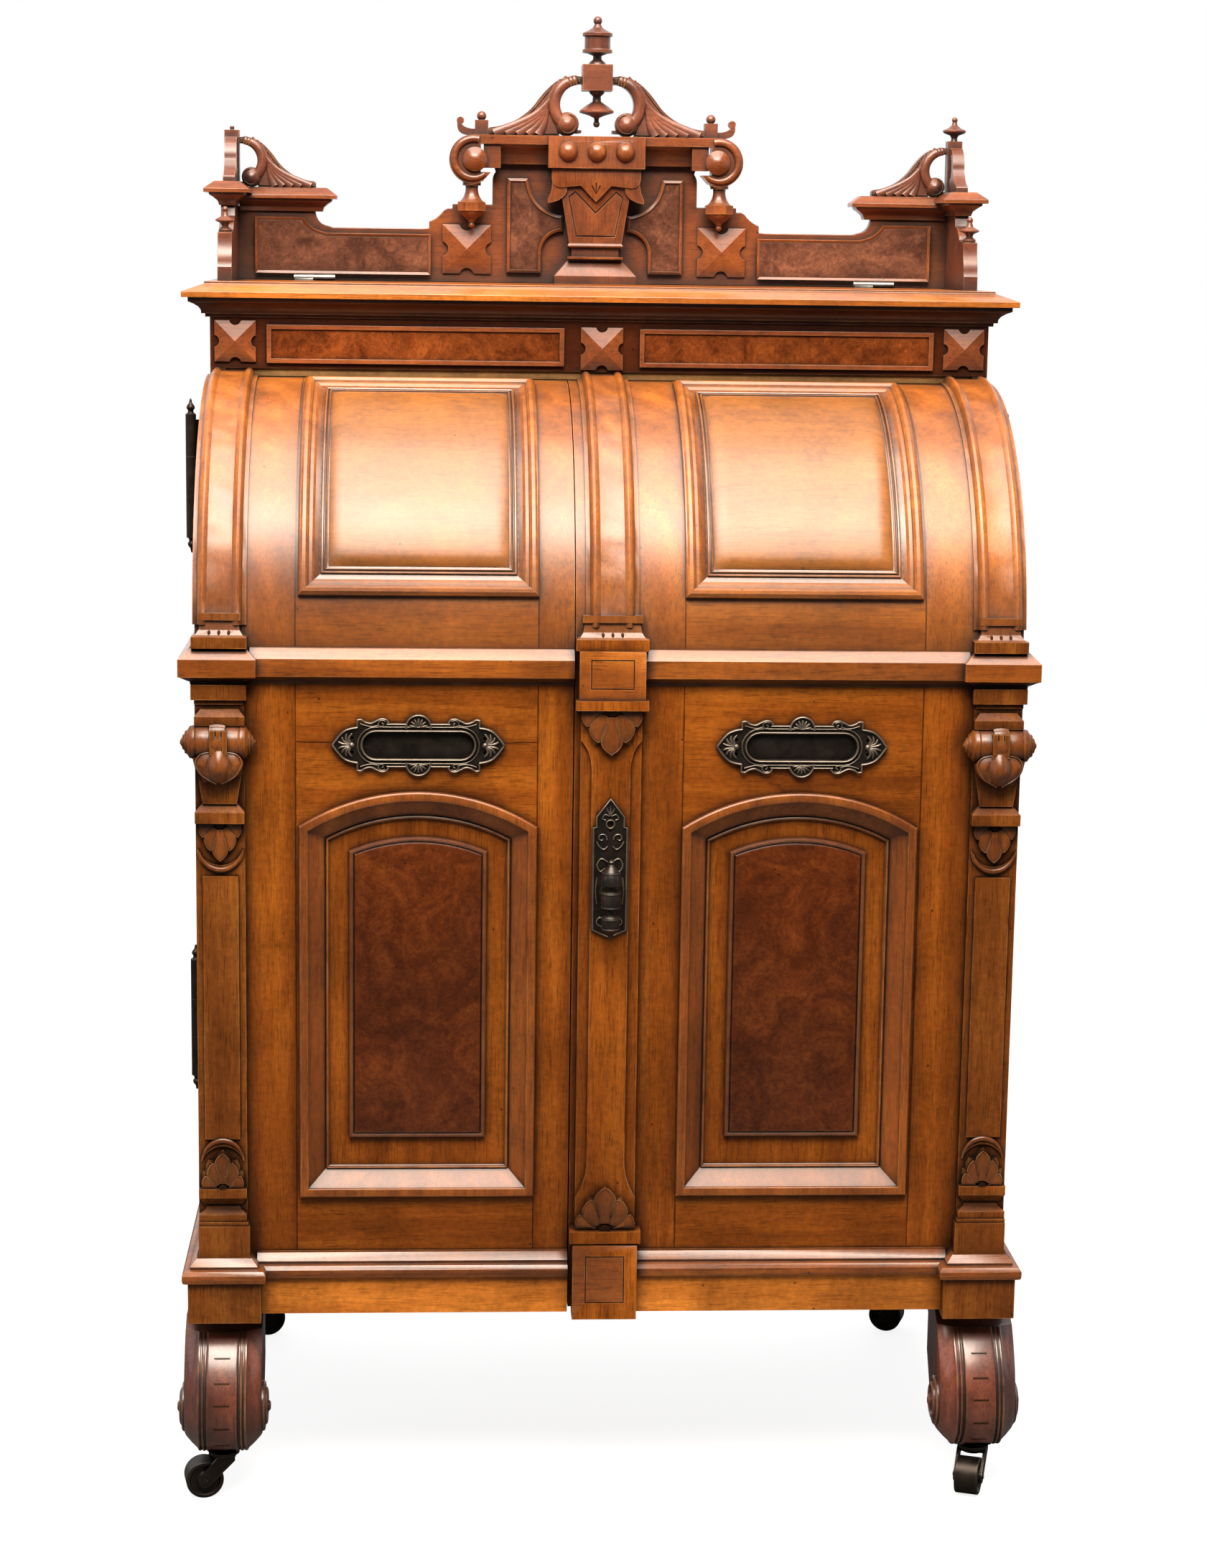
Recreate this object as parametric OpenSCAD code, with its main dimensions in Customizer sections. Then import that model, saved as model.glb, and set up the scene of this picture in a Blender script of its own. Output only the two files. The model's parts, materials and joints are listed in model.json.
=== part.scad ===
// Two-door cabinet desk: quarter-round compartment doors on a shallow case,
// lift lid and scrolled gallery above, trestle feet on casters below.
// Millimetres, +Z up, front towards -Y. Inside the modules Y = 0 is the front of
// the mid caps, and from_front() moves each piece to the origin below the middle.

/* [Case] */
// Width over the side faces
case_w = 1028; // [980:1:1100]
// Depth from the cap fronts to the joint behind the doors
door_d = 340; // [325:1:360]
// Depth of the fixed case behind the joint
case_d = 259; // [245:1:300]
// Height of the case bottom above the floor
base_z = 241; // [236:1:255]
// Thickness of the case sides
side_t = 20; // [16:1:26]
// Thickness of the case back
back_t = 12; // [8:1:16]
// Thickness of the inner partitions
part_t = 10; // [7:1:14]
// Free gap between the doors and the case
joint_gap = 1; // [0.6:0.1:2]

/* [Heights] */
// Height of the plain base rail
base_rail_h = 47; // [35:1:60]
// Height of the base moulding
base_mould_h = 33; // [28:1:40]
// Height of the lower door fronts between the mouldings
lower_h = 729; // [700:1:780]
// Height of the mid moulding
mid_mould_h = 45; // [42:1:52]
// Lap of the rib crowns over the frieze
rib_lap = 5; // [2:1:9]
// Height of the frieze
frieze_h = 70; // [62:1:84]
// Height of the cornice
cornice_h = 46; // [44:1:54]

/* [Doors] */
// Place of the joint between the doors, from the middle
joint_x = -46; // [-50:0.5:-44]
// Gap between the two doors
meet_gap = 1.4; // [1:0.1:3]
// Depth of the rail and stile faces behind the cap fronts
face_y = 24; // [21:0.5:28]
// Depth of the rib beads behind the cap fronts
rib_y = 12; // [8:0.5:16]
// Thickness of the front boards
plate_t = 18; // [15:1:22]
// Thickness of the compartment walls
wall_t = 14; // [10:1:18]
// Thickness of the curved shell
shell_t = 14; // [11:1:18]
// Height of the ledger bin above the base moulding
bin_h = 366; // [352:1:400]

/* [Mouldings] */
// Reach of the mid cap and the base torus beyond the side faces
side_out = 19.5; // [15:0.5:24]
// Front of the mid moulding on the rails
mid_rail_y = 12; // [10:0.5:18]
// Front of the base rails
base_rail_y = 10; // [6:0.5:14]
// Front of the corner base blocks
base_block_y = -12; // [-15:0.5:-8]
// Width of the corner base blocks
base_block_w = 92; // [84:1:100]
// Reach of the base torus beyond rail and block
torus_out = 6; // [4:0.5:9]
// Drop of the base blocks below the rails
block_drop = 5; // [2:0.5:8]

/* [Arched panels] */
// Middle of each panel from the middle of the desk
panel_x = 239; // [225:1:255]
// Width over the arched frame
frame_w = 297; // [270:1:320]
// Width of the frame moulding
frame_mould = 38; // [30:1:44]
// Height of the frame bottom above the base moulding
frame_up = 71; // [50:1:100]
// Drop of the arch spring below the mid moulding
spring_down = 178; // [165:1:200]
// Rise of the frame arch
arch_rise = 44; // [30:1:50]
// Proud height of the frame moulding
frame_proud = 9; // [5:0.5:12]
// Depth of the sunk field below the rails
field_sink = 14; // [8:0.5:16]
// Width of the raised burl panel
burl_w = 173; // [140:1:190]
// Proud height of the raised burl panel over its field
burl_proud = 8; // [4:0.5:10]

/* [Curved panels] */
// First and last angle of the curved frame on the quarter round
curve_a0 = 11.6; // [9:0.2:16]
curve_a1 = 81; // [74:0.5:82]
// Width over the curved frame
curve_w = 297; // [270:1:320]

/* [Pilasters] */
// Width of the corner pilasters
pil_w = 61; // [54:1:66]
// Width of the centre block
centre_w = 82; // [76:1:84]
// Radius of the turned roll
roll_r = 20; // [16:0.5:22]

/* [Frieze and cornice] */
// Reach of the cornice beyond the side faces
cornice_out = 35; // [30:1:40]
// Reach of the cornice in front of the frieze
cornice_fwd = 32; // [28:1:38]
// Size of the pyramid blocks
pyramid_s = 55; // [46:1:60]
// Rise of the pyramid points
pyramid_rise = 11; // [6:0.5:13]

/* [Lid and well] */
// Width of the fixed top beside the lid
lid_side = 50; // [44:1:70]
// Thickness of the lid
lid_t = 18; // [14:1:20]
// Depth of the well below the top
well_h = 92; // [60:1:100]
// Clearance round the lid
lid_gap = 1; // [0.6:0.1:2]
// Distance of the lid hinges from the middle
lid_hinge_x = 384; // [360:1:400]

/* [Gallery] */
// Thickness of the gallery board
gallery_t = 18; // [14:1:22]
// Distance of the board from the case back
gallery_back = 22; // [15:1:30]
// Height of the low parts of the gallery board
gallery_low = 72; // [60:1:84]
// Height of the corner parts of the board
gallery_corner = 93; // [90:1:110]
// Height of the scroll rail top
rail_top_h = 199; // [190:1:215]
// Height of the pediment above the rail
pediment_h = 84; // [76:1:92]

/* [Door hinges] */
// Reach of the hinge pins beyond the side faces
pin_out = 26; // [24:0.5:30]
// Radius of the hinge barrels
barrel_r = 7; // [6:0.25:8]
// Radius of the hinge pins
pin_r = 3.5; // [3:0.1:4]
// Running clearance of pins in their bores
pin_fit = 0.05; // [0.03:0.01:0.09]
// Length of the hinge barrels
barrel_h = 156; // [120:1:180]

/* [Plates and lock] */
// Length of the slot in the plates
slot_w = 138; // [110:1:150]
// Height of the slot in the plates
slot_h = 33; // [26:1:36]
// Length of the whole plate
plate_w = 214; // [200:1:230]
// Height of the slot middle above the arch spring
slot_up = 102; // [90:1:112]
// Thickness of the cast plates
cast_t = 4; // [3:0.5:6]
// Thickness of the spring flap
flap_t = 2; // [1.5:0.5:3]
// Height of the handle spindle above the base moulding
handle_up = 469; // [440:1:500]
// Length of the turned handle
handle_l = 100; // [90:1:110]
// Radius of the turned handle
handle_r = 12.5; // [10:0.5:14]
// Radius of the handle spindle
spindle_r = 5; // [4:0.5:6]
// Height of the latch bolt above the spindle
bolt_up = 56; // [48:1:64]

/* [Drawers] */
// Inner edge of the drawer columns from the middle
column_x = 72; // [66:1:84]
// Height of each drawer bay
bay_h = 205; // [180:1:215]
// Clearance round the drawers
drawer_gap = 1.5; // [1:0.1:3]
// Thickness of the drawer boards
drawer_t = 9; // [7:0.5:12]

/* [Inner fittings] */
// Depth of the file boxes
file_d = 205; // [180:1:240]
// Depth of the file boxes in the top row
file_top_d = 128; // [100:1:150]
// Depth of the letter box behind the slot
letter_d = 112; // [80:1:130]
// Drop of the letter box below the slot
letter_drop = 130; // [90:1:150]
// Set-back of the lower pigeonholes behind the upper ones
nest_back = 40; // [30:1:60]
// Height of the writing flap
flap_h = 436; // [400:1:460]
// Margin of the flap leather at the sides
leather_side = 70; // [40:1:90]
// Margin of the flap leather at the top and bottom
leather_up = 40; // [25:1:60]
// Thickness of the writing flap
board_t = 18; // [15:1:22]

/* [Feet] */
// Middle of the trestles from the middle of the desk
foot_x = 485; // [475:1:490]
// Width of the scroll heads
foot_w = 98; // [88:1:104]
// Width of the trestle beams
beam_w = 72; // [60:1:80]
// Radius of the scroll heads
head_r = 55; // [50:1:60]
// Radius of the turned rosettes
rosette_r = 32; // [26:1:38]

/* [Casters] */
// Radius of the wheels
wheel_r = 24; // [20:0.5:26]
// Width of the wheels
wheel_w = 30; // [24:1:34]
// Trail of the wheels behind their stems
trail = 26; // [22:0.5:30]
// Radius of the swivel stems
stem_r = 5; // [4:0.25:6]
// Radius of the wheel axles
axle_r = 3; // [2.5:0.25:4]

/* [Hidden] */
$fn = 64;
case_hw = case_w / 2;
door_y1 = door_d;
case_y0 = door_y1 + joint_gap;
case_y1 = case_y0 + case_d;
mid_y = case_y1 / 2;
z_rail = base_z + base_rail_h;
z_lower = z_rail + base_mould_h;
z_mid = z_lower + lower_h;
z_arc = z_mid + mid_mould_h;
rib_r = door_y1 - rib_y;
shell_r = door_y1 - face_y;
z_frieze = z_arc + rib_r - rib_lap;
z_cornice = z_frieze + frieze_h;
z_top = z_cornice + cornice_h;
left_in = joint_x - meet_gap / 2;
right_in = joint_x + meet_gap / 2;
cap_hw = case_hw + side_out;
cap_w = 95;
pil_x = case_hw - pil_w / 2;
centre_hw = centre_w / 2;
z_bin = z_lower + bin_h;
z_spring = z_mid - spring_down;
z_frame = z_lower + frame_up;
z_slot = z_spring + slot_up;
z_handle = z_lower + handle_up;
z_bolt = z_handle + bolt_up;
plate_back = face_y + plate_t;
pin_x = case_hw + pin_out;
pin_y = door_y1 + joint_gap / 2;
hinge_z = [base_z + 304, z_arc + 185];
seam = 0.3;
board_y = case_y1 - gallery_back - gallery_t;
deck_y0 = board_y - 40;
lid_hw = case_hw - lid_side;
lid_pin_y = deck_y0 - 0.5;
lid_pin_z = z_top + 4.5;
lid_y0 = case_y0 + 6;
drawer_z = [z_rail - 27, z_rail - 27 + bay_h + part_t];
column_w = case_hw - side_t - column_x;
head_y = 22;
head_z = 58 + head_r;
stem_y = 12;
foot_z = head_z - head_r;
caster_at = [[-foot_x, stem_y, 190], [foot_x, stem_y, 250],
             [-foot_x, case_y1 - stem_y, 20], [foot_x, case_y1 - stem_y, 160]];

// Colours of the finishes
walnut = "#8a4a1c";
walnut_dark = "#5d2f16";
burl = "#5a2412";
iron = "#2b2523";
brass = "#a58a4a";
inner_wood = "#a8793f";
leather = "#3d2a20";
box_green = "#3e5236";

// Helpers for placing and drawing

module from_front() { translate([0, -mid_y, 0]) children(); }

// A drawing in X and Z, thickened backwards from y
module plate_xz(y, t) {
  translate([0, y + t, 0]) rotate([90, 0, 0]) linear_extrude(t) children();
}

// A drawing in Y and Z, thickened to the right from x
module plate_yz(x, w) {
  translate([x, 0, 0]) rotate([90, 0, 90]) linear_extrude(w) children();
}

// A drawing in X and Z whose size changes by k, about height cz, from y back over t
module sloped_back(y, t, cz, k) {
  translate([0, y, cz]) rotate([-90, 0, 0]) linear_extrude(t, scale = k, slices = 1)
    mirror([0, 1]) translate([0, -cz]) children();
}

// The same, with the change towards the front
module sloped_front(y, t, cz, k) {
  translate([0, y + t, cz]) rotate([90, 0, 0]) linear_extrude(t, scale = k, slices = 1)
    translate([0, -cz]) children();
}

// A board given by its two corners
module board(a, b) { translate(a) cube(b - a); }

// A radius-and-X drawing swept round the axis of the quarter-round fronts
module swept(a0, a1) {
  translate([0, door_y1, z_arc]) rotate([90, 0, -90]) rotate([0, 0, a0])
    rotate_extrude(angle = a1 - a0, $fn = 180) mirror([0, 1]) children();
}

// The same thing on the left
module mirrored() { mirror([1, 0, 0]) children(); }

// Points of a soft curve from a to c, pulled towards b
function bend(a, b, c, n = 8) =
  [for (i = [0:n]) let (t = i / n) (1 - t) * (1 - t) * a + 2 * t * (1 - t) * b + t * t * c];

// Points of an arc
function arc(c, r, a0, a1, n = 10) =
  [for (i = [0:n]) let (a = a0 + (a1 - a0) * i / n) c + r * [cos(a), sin(a)]];

function flip(p) = [for (i = [len(p) - 1:-1:0]) p[i]];

// A moulding run round a block: prof lists [set-back from the outermost face, height]
module moulded(x0, x1, y0, y1, z0, prof, left = true, right = true) {
  top = prof[len(prof) - 1][1];
  intersection() {
    plate_yz(x0, x1 - x0)
      polygon(concat([[y1, z0]], [for (p = prof) [y0 + p[0], z0 + p[1]]], [[y1, z0 + top]]));
    plate_xz(y0, y1 - y0)
      polygon(concat(
        left ? [for (p = prof) [x0 + p[0], z0 + p[1]]] : [[x0, z0], [x0, z0 + top]],
        right ? flip([for (p = prof) [x1 - p[0], z0 + p[1]]]) : [[x1, z0 + top], [x1, z0]]));
  }
}

mid_prof = [[14, 0], [14, 3], [10, 5], [5, 8], [1, 10], [0, 10], [0, 32],
            [12, mid_mould_h - 1], [14, mid_mould_h]];
base_prof = [[5, 0], [1, 2], [0, 6], [0, 12], [3, 17], [10, 18], [10, 21],
             [18, base_mould_h - 3], [18, base_mould_h]];
cornice_prof = [[32, 0], [29, 0], [29, 4.5], [24, 4.5], [24, 8.5], [21, 13], [15, 17],
                [8, 20], [8, 25.5], [0, 25.5], [0, 33], [28, cornice_h - 3], [28, cornice_h]];

// Arch-topped outline: half width, bottom, spring and rise
module arch(hw, z0, zs, rise) {
  r = (hw * hw + rise * rise) / (2 * rise);
  a = asin(hw / r);
  polygon(concat([[-hw, z0], [hw, z0]], arc([0, zs + rise - r], r, 90 - a, 90 + a, 16)));
}

// Carcase

module carcase_sides() {
  color(walnut) from_front() for (s = [0, 1]) mirror([s, 0, 0]) difference() {
    board([case_hw - side_t, case_y0, base_z], [case_hw, case_y1, z_cornice]);
    for (z = [[z_lower + 40, z_mid - 40], [z_arc + 40, z_frieze - 10]])
      board([case_hw - 5, case_y0 + 45, z[0]], [case_hw + 1, case_y1 - 45, z[1]]);
  }
}

module carcase_back() {
  color(walnut_dark) from_front() difference() {
    board([side_t - case_hw, case_y1 - back_t, base_z], [case_hw - side_t, case_y1, z_cornice]);
    for (x = [-1.5:1:1.5], z = [[z_lower, z_mid - 40], [z_mid + 40, z_frieze]])
      board([x * 235 - 95, case_y1 - 4, z[0]], [x * 235 + 95, case_y1 + 1, z[1]]);
  }
}

module carcase_bottom() {
  color(inner_wood) from_front()
    board([side_t - case_hw, case_y0, base_z],
          [case_hw - side_t, case_y1 - back_t, drawer_z[0]]);
}

// Uprights and shelves of the drawer columns, with a tall ledger slot between them
module carcase_partitions() {
  top = drawer_z[1] + bay_h;
  color(inner_wood) from_front() {
    for (s = [0, 1]) mirror([s, 0, 0]) {
      board([column_x - part_t, case_y0, drawer_z[0]], [column_x, case_y1 - back_t, top]);
      board([column_x, case_y0, drawer_z[1] - part_t],
            [case_hw - side_t, case_y1 - back_t, drawer_z[1]]);
    }
    board([side_t - case_hw, case_y0, top], [case_hw - side_t, case_y1 - back_t, top + part_t]);
  }
}

nest_z = drawer_z[1] + bay_h + part_t;
flap_top = nest_z + flap_h;
nest_hw = case_hw - side_t;

// A rack of open cells between two heights
module rack(y0, z0, z1, cols, rows) {
  cell_w = (2 * nest_hw - part_t * (cols + 1)) / cols;
  cell_h = (z1 - z0 - part_t * (rows + 1)) / rows;
  difference() {
    board([-nest_hw, y0, z0], [nest_hw, case_y1 - back_t, z1]);
    for (i = [0:cols - 1], k = [0:rows - 1])
      translate([-nest_hw + part_t + i * (cell_w + part_t), y0 - 1, z0 + part_t + k * (cell_h + part_t)])
        cube([cell_w, case_y1 - back_t - y0 + 1 - 6, cell_h]);
  }
}

module upper_pigeonholes() {
  color(inner_wood) from_front() rack(case_y0 + 3, flap_top, z_frieze + 4, 4, 2);
}

module lower_pigeonholes() {
  color(inner_wood) from_front() rack(case_y0 + nest_back, nest_z, flap_top, 3, 2);
}

module writing_flap() {
  color(walnut) from_front()
    board([-nest_hw + 1, case_y0 + 2, nest_z], [nest_hw - 1, case_y0 + 2 + board_t, flap_top - 1]);
}

module flap_leather() {
  color(leather) from_front()
    translate([0, case_y0 + 2 + board_t, 0])
      board([leather_side - nest_hw, 0, nest_z + leather_up],
            [nest_hw - leather_side, 1.5, flap_top - leather_up]);
}

module frieze() {
  color(walnut) from_front() {
    board([-case_hw, case_y0 - 0.6, z_frieze + 4], [case_hw, case_y0, z_cornice]);
    board([-case_hw + side_t, case_y0, z_frieze + 4], [case_hw - side_t, case_y0 + 12, z_cornice]);
  }
}

// Square block carved to a point, with a round notch in each side
module pyramid_block(x, z, s, y) {
  h = s / 2;
  translate([x, y, z]) difference() {
    union() {
      intersection() {
        plate_xz(-pyramid_rise, pyramid_rise) square(s, center = true);
        plate_yz(-h, s) polygon([[0, -h], [-3, -h], [-pyramid_rise, 0], [-3, h], [0, h]]);
        translate([0, 0, -h]) linear_extrude(s)
          polygon([[-h, 0], [-h, -3], [0, -pyramid_rise], [h, -3], [h, 0]]);
      }
    }
    for (a = [0:90:270]) rotate([0, a, 0]) translate([h + 1.5, 1, 0]) rotate([90, 0, 0])
      cylinder(r = s * 0.14, h = pyramid_rise + 2);
  }
}

frieze_mid = (z_frieze + z_cornice) / 2;

// Burl panels and pyramid blocks of the frieze and the gallery
module burl_panels() {
  fy = case_y0 - 0.6;
  x0 = 50;
  w = case_hw - x0 - 74;
  color(burl) from_front() {
    for (s = [-1, 1]) {
      pyramid_block(s * (case_hw - 33), frieze_mid + 4, pyramid_s - 1, fy);
      plate_xz(fy - 5, 5) scale([s, 1]) translate([x0, frieze_mid - 24]) difference() {
        square([w, 50]);
        translate([6, 6]) square([w - 12, 38]);
      }
      plate_xz(fy - 2.5, 2.5) scale([s, 1]) translate([x0 + 6, frieze_mid - 18]) square([w - 12, 38]);
      pyramid_block(s * 176, z_top + 45, 67, board_y);
      plate_xz(board_y - 7, 7) scale([s, 1]) low_tablet();
      plate_xz(board_y - 7, 7) scale([s, 1]) high_tablet();
    }
    pyramid_block(0, z_arc + rib_r + 1.5 + 28, 56, fy);
  }
}

// L-shaped tablet beside the corner, stepped by a hollow curve
module low_tablet() {
  x0 = 230; x1 = case_hw - 52; zb = z_top + 13;
  polygon(concat([[x1, zb], [x0, zb], [x0, zb + 47], [x1 - 102, zb + 47]],
    bend([x1 - 96, zb + 47], [x1 - 70, zb + 50], [x1 - 60, zb + 68], 6), [[x1, zb + 68]]));
}

// Upright tablet beside the urn, hollowed above and below
module high_tablet() {
  x0 = 44; x1 = 121; zb = z_top + 14;
  polygon(concat([[x1, zb], [x1, zb + 128], [93, zb + 128]],
    bend([92, zb + 124], [86, zb + 88], [x0 + 8, zb + 79], 8), [[x0, zb + 79], [x0, zb + 57]],
    arc([x0, zb + 27], 30, 90, 0, 8), [[x0 + 30, zb]]));
}

cornice_hw = case_hw + cornice_out;
cornice_y = case_y0 - cornice_fwd;

module cornice() {
  color(walnut) from_front() difference() {
    moulded(-cornice_hw, cornice_hw, cornice_y, case_y1, z_cornice, cornice_prof);
    board([-lid_hw, lid_y0 - lid_gap, z_cornice - 1], [lid_hw, case_y1 + 1, z_top + 1]);
  }
}

// Shallow tray under the lid
module well_tray() {
  z0 = z_top - well_h;
  z1 = z_top - lid_t - seam;
  y0 = case_y0 + 12;
  y1 = deck_y0;
  color(inner_wood) from_front() difference() {
    board([-lid_hw, y0, z0], [lid_hw, y1, z1]);
    board([-lid_hw + 10, y0 + 10, z0 + 10], [lid_hw - 10, y1 - 10, z1 + 1]);
  }
}

module gallery_deck() {
  color(walnut) from_front() difference() {
    board([-lid_hw, deck_y0, z_cornice], [lid_hw, case_y1, z_top]);
    board([-lid_hw - 1, deck_y0 + 20, z_cornice - 1], [lid_hw + 1, case_y1 - 20, z_top - 24]);
  }
}

// Gallery

zt = z_top;
low_z = zt + gallery_low;
corner_z = zt + gallery_corner;
rail_z = zt + rail_top_h;
gallery_hw = case_hw - 6;
step_x = gallery_hw - 148;

// Right half of the gallery board outline
function board_half() = concat([[0, rail_z - 12], [150, rail_z - 12]],
  arc([123, rail_z - 60], 18, 40, 0, 4), [[141, zt + 106], [196, zt + 106], [196, zt + 100], [203, zt + 100]],
  bend([208, zt + 97], [216, zt + 86], [228, zt + 82], 5), [[228, low_z + 1], [237, low_z], [step_x, low_z]],
  bend([step_x + 6, low_z + 2], [step_x + 22, low_z + 4], [step_x + 24, corner_z], 5),
  [[gallery_hw, corner_z], [gallery_hw, zt]]);

module gallery_board() {
  h = board_half();
  color(walnut) from_front() plate_xz(board_y, gallery_t)
    polygon(concat(h, flip([for (p = h) [-p[0], p[1]]])));
}

boss_hw = 66;
scroll_x = 168;

// Rail with a scroll and a turned pendant at each end
module scroll_rail() {
  y0 = board_y - 34;
  color(walnut) from_front() {
    for (s = [0, 1]) mirror([s, 0, 0]) {
      plate_xz(y0, 34) {
        difference() {
          translate([scroll_x, rail_z - 33]) circle(r = 33, $fn = 60);
          translate([scroll_x - 50, rail_z - 70]) square([40, 60]);
        }
        polygon([[scroll_x - 24, rail_z - 50], [scroll_x + 24, rail_z - 50],
                 [scroll_x + 13, rail_z - 62], [scroll_x - 13, rail_z - 62]]);
        translate([boss_hw, rail_z - 12]) square([scroll_x - boss_hw, 12]);
      }
      translate([scroll_x - 2, y0 + 1, rail_z - 33]) rotate([90, 0, 0]) cylinder(r = 14.5, h = 5);
      plate_yz(boss_hw, scroll_x - boss_hw - 20)
        polygon(concat([[board_y, rail_z - 12], [y0 + 6, rail_z - 12]],
          arc([y0 + 2, rail_z - 34], 19, 70, 10, 5), [[y0 + 22, rail_z - 38], [board_y, rail_z - 38]]));
      translate([scroll_x + 2, y0 + 13, 0]) pendant();
    }
  }
}

// Turned pendant with an eight-sided collar, hanging below a scroll
module pendant() {
  zp = rail_z - 62;
  translate([0, 0, zp - 6]) cylinder(r = 12.5, h = 6);
  rotate_extrude() polygon(concat([[0, zp - 6], [9, zp - 6]],
    bend([8.5, zp - 10], [9, zp - 22], [17, zp - 28], 6), [[0, zp - 28]]));
  translate([0, 0, zp - 40]) rotate([0, 0, 22.5]) cylinder(r = 20.5, h = 12, $fn = 8);
  rotate_extrude() polygon([[0, zp - 40], [18, zp - 40], [16, zp - 44], [6, zp - 52], [3.5, zp - 56],
                            [0, zp - 56]]);
  translate([0, 0, zp - 59]) sphere(r = 4.2);
}

// One carved leaf scroll lying to the right of x = 0, on z = 0
module leaf_scroll(w, h) {
  difference() {
    union() {
      polygon(concat([[h * 0.36, 0], [w, 0], [w, h * 0.09]],
        bend([w * 0.98, h * 0.12], [w * 0.70, h * 0.16], [w * 0.52, h * 0.46], 8),
        bend([w * 0.50, h * 0.50], [w * 0.33, h * 0.86], [w * 0.20, h * 0.92], 6), [[h * 0.36, h * 0.5]]));
      translate([h * 0.09, h * 0.50]) circle(r = h * 0.455, $fn = 60);
    }
    translate([h * 0.02, h * 0.50]) circle(r = h * 0.33, $fn = 60);
    translate([-h, -1]) square([h, h * 1.2]);
    translate([0, h * 0.10]) square([h * 0.09, h * 0.62]);
  }
  translate([h * 0.22, h * 0.16]) circle(r = h * 0.145, $fn = 40);
}

// The same leaf standing on the plate, with a raised inner face and two grooves along it
module carved_leaf(y, t, w, h) {
  plate_xz(y + 2, t - 2) leaf_scroll(w, h);
  plate_xz(y, 3) difference() {
    offset(delta = -h * 0.03) leaf_scroll(w, h);
    for (k = [0.10, 0.22]) polygon(concat(
      bend([w * 0.30, h * (0.96 - k * 1.3)], [w * 0.55, h * (0.36 - k)], [w * 0.80, h * 0.08], 8),
      bend([w * 0.80, h * 0.06], [w * 0.55, h * (0.33 - k)], [w * 0.30, h * (0.93 - k * 1.3)], 8)));
  }
}

ped_w = 118;

module pediment() {
  y0 = board_y - 30;
  color(walnut) from_front() {
    for (s = [0, 1]) mirror([s, 0, 0]) {
      translate([21, 0, rail_z]) carved_leaf(y0 + 2, 24, ped_w + 10, pediment_h);
      board([148, y0 + 6, rail_z], [166, y0 + 24, rail_z + 20]);
      translate([157, y0 + 15, rail_z + 25.5]) sphere(r = 6.5);
      plate_xz(y0 + 8, 14) {
        translate([166, rail_z]) polygon(concat([[0, 0], [12, 0]],
          bend([16, 1], [26, 4], [24, 18], 6), bend([20, 17], [16, 8], [0, 8], 5)));
        translate([186, rail_z + 19]) circle(r = 5, $fn = 30);
      }
    }
  }
}

// Turned top finial with its square block and drop, and the small corner finial
module finials() {
  zb = rail_z + 61;
  color(walnut_dark) from_front() {
    translate([0, board_y - 15, 0]) {
      board([-20.5, -20.5, zb], [20.5, 20.5, zb + 35]);
      rotate_extrude() polygon([[0, zb + 35], [12, zb + 35], [11, zb + 38], [6, zb + 42], [6, zb + 47],
        [14, zb + 50], [20.5, zb + 51], [20.5, zb + 55], [17.5, zb + 56], [17.5, zb + 72],
        [20.5, zb + 73], [20.5, zb + 77], [14, zb + 80], [7, zb + 84], [3.5, zb + 90], [0, zb + 90]]);
      translate([0, 0, zb + 93.5]) sphere(r = 6);
      rotate_extrude() polygon([[0, zb], [11, zb], [10, zb - 3], [5.5, zb - 7], [6, zb - 14],
        [14, zb - 19], [23.5, zb - 26], [23.5, zb - 29], [10, zb - 33], [3.5, zb - 36], [3, zb - 42],
        [0, zb - 42]]);
      translate([0, 0, zb - 44]) sphere(r = 4.5);
    }
    translate([cap_post_x, cap_post_y, corner_z + 108]) {
      rotate_extrude() polygon([[0, 0], [5, 0], [4, 4], [6, 8], [14, 11], [16, 13], [16, 15],
        [9, 18], [4, 22], [3, 27], [0, 27]]);
      translate([0, 0, 29]) sphere(r = 4);
    }
    mirrored() translate([cap_post_x, cap_post_y, corner_z + 108]) cylinder(r = 3, h = 5);
  }
}

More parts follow.
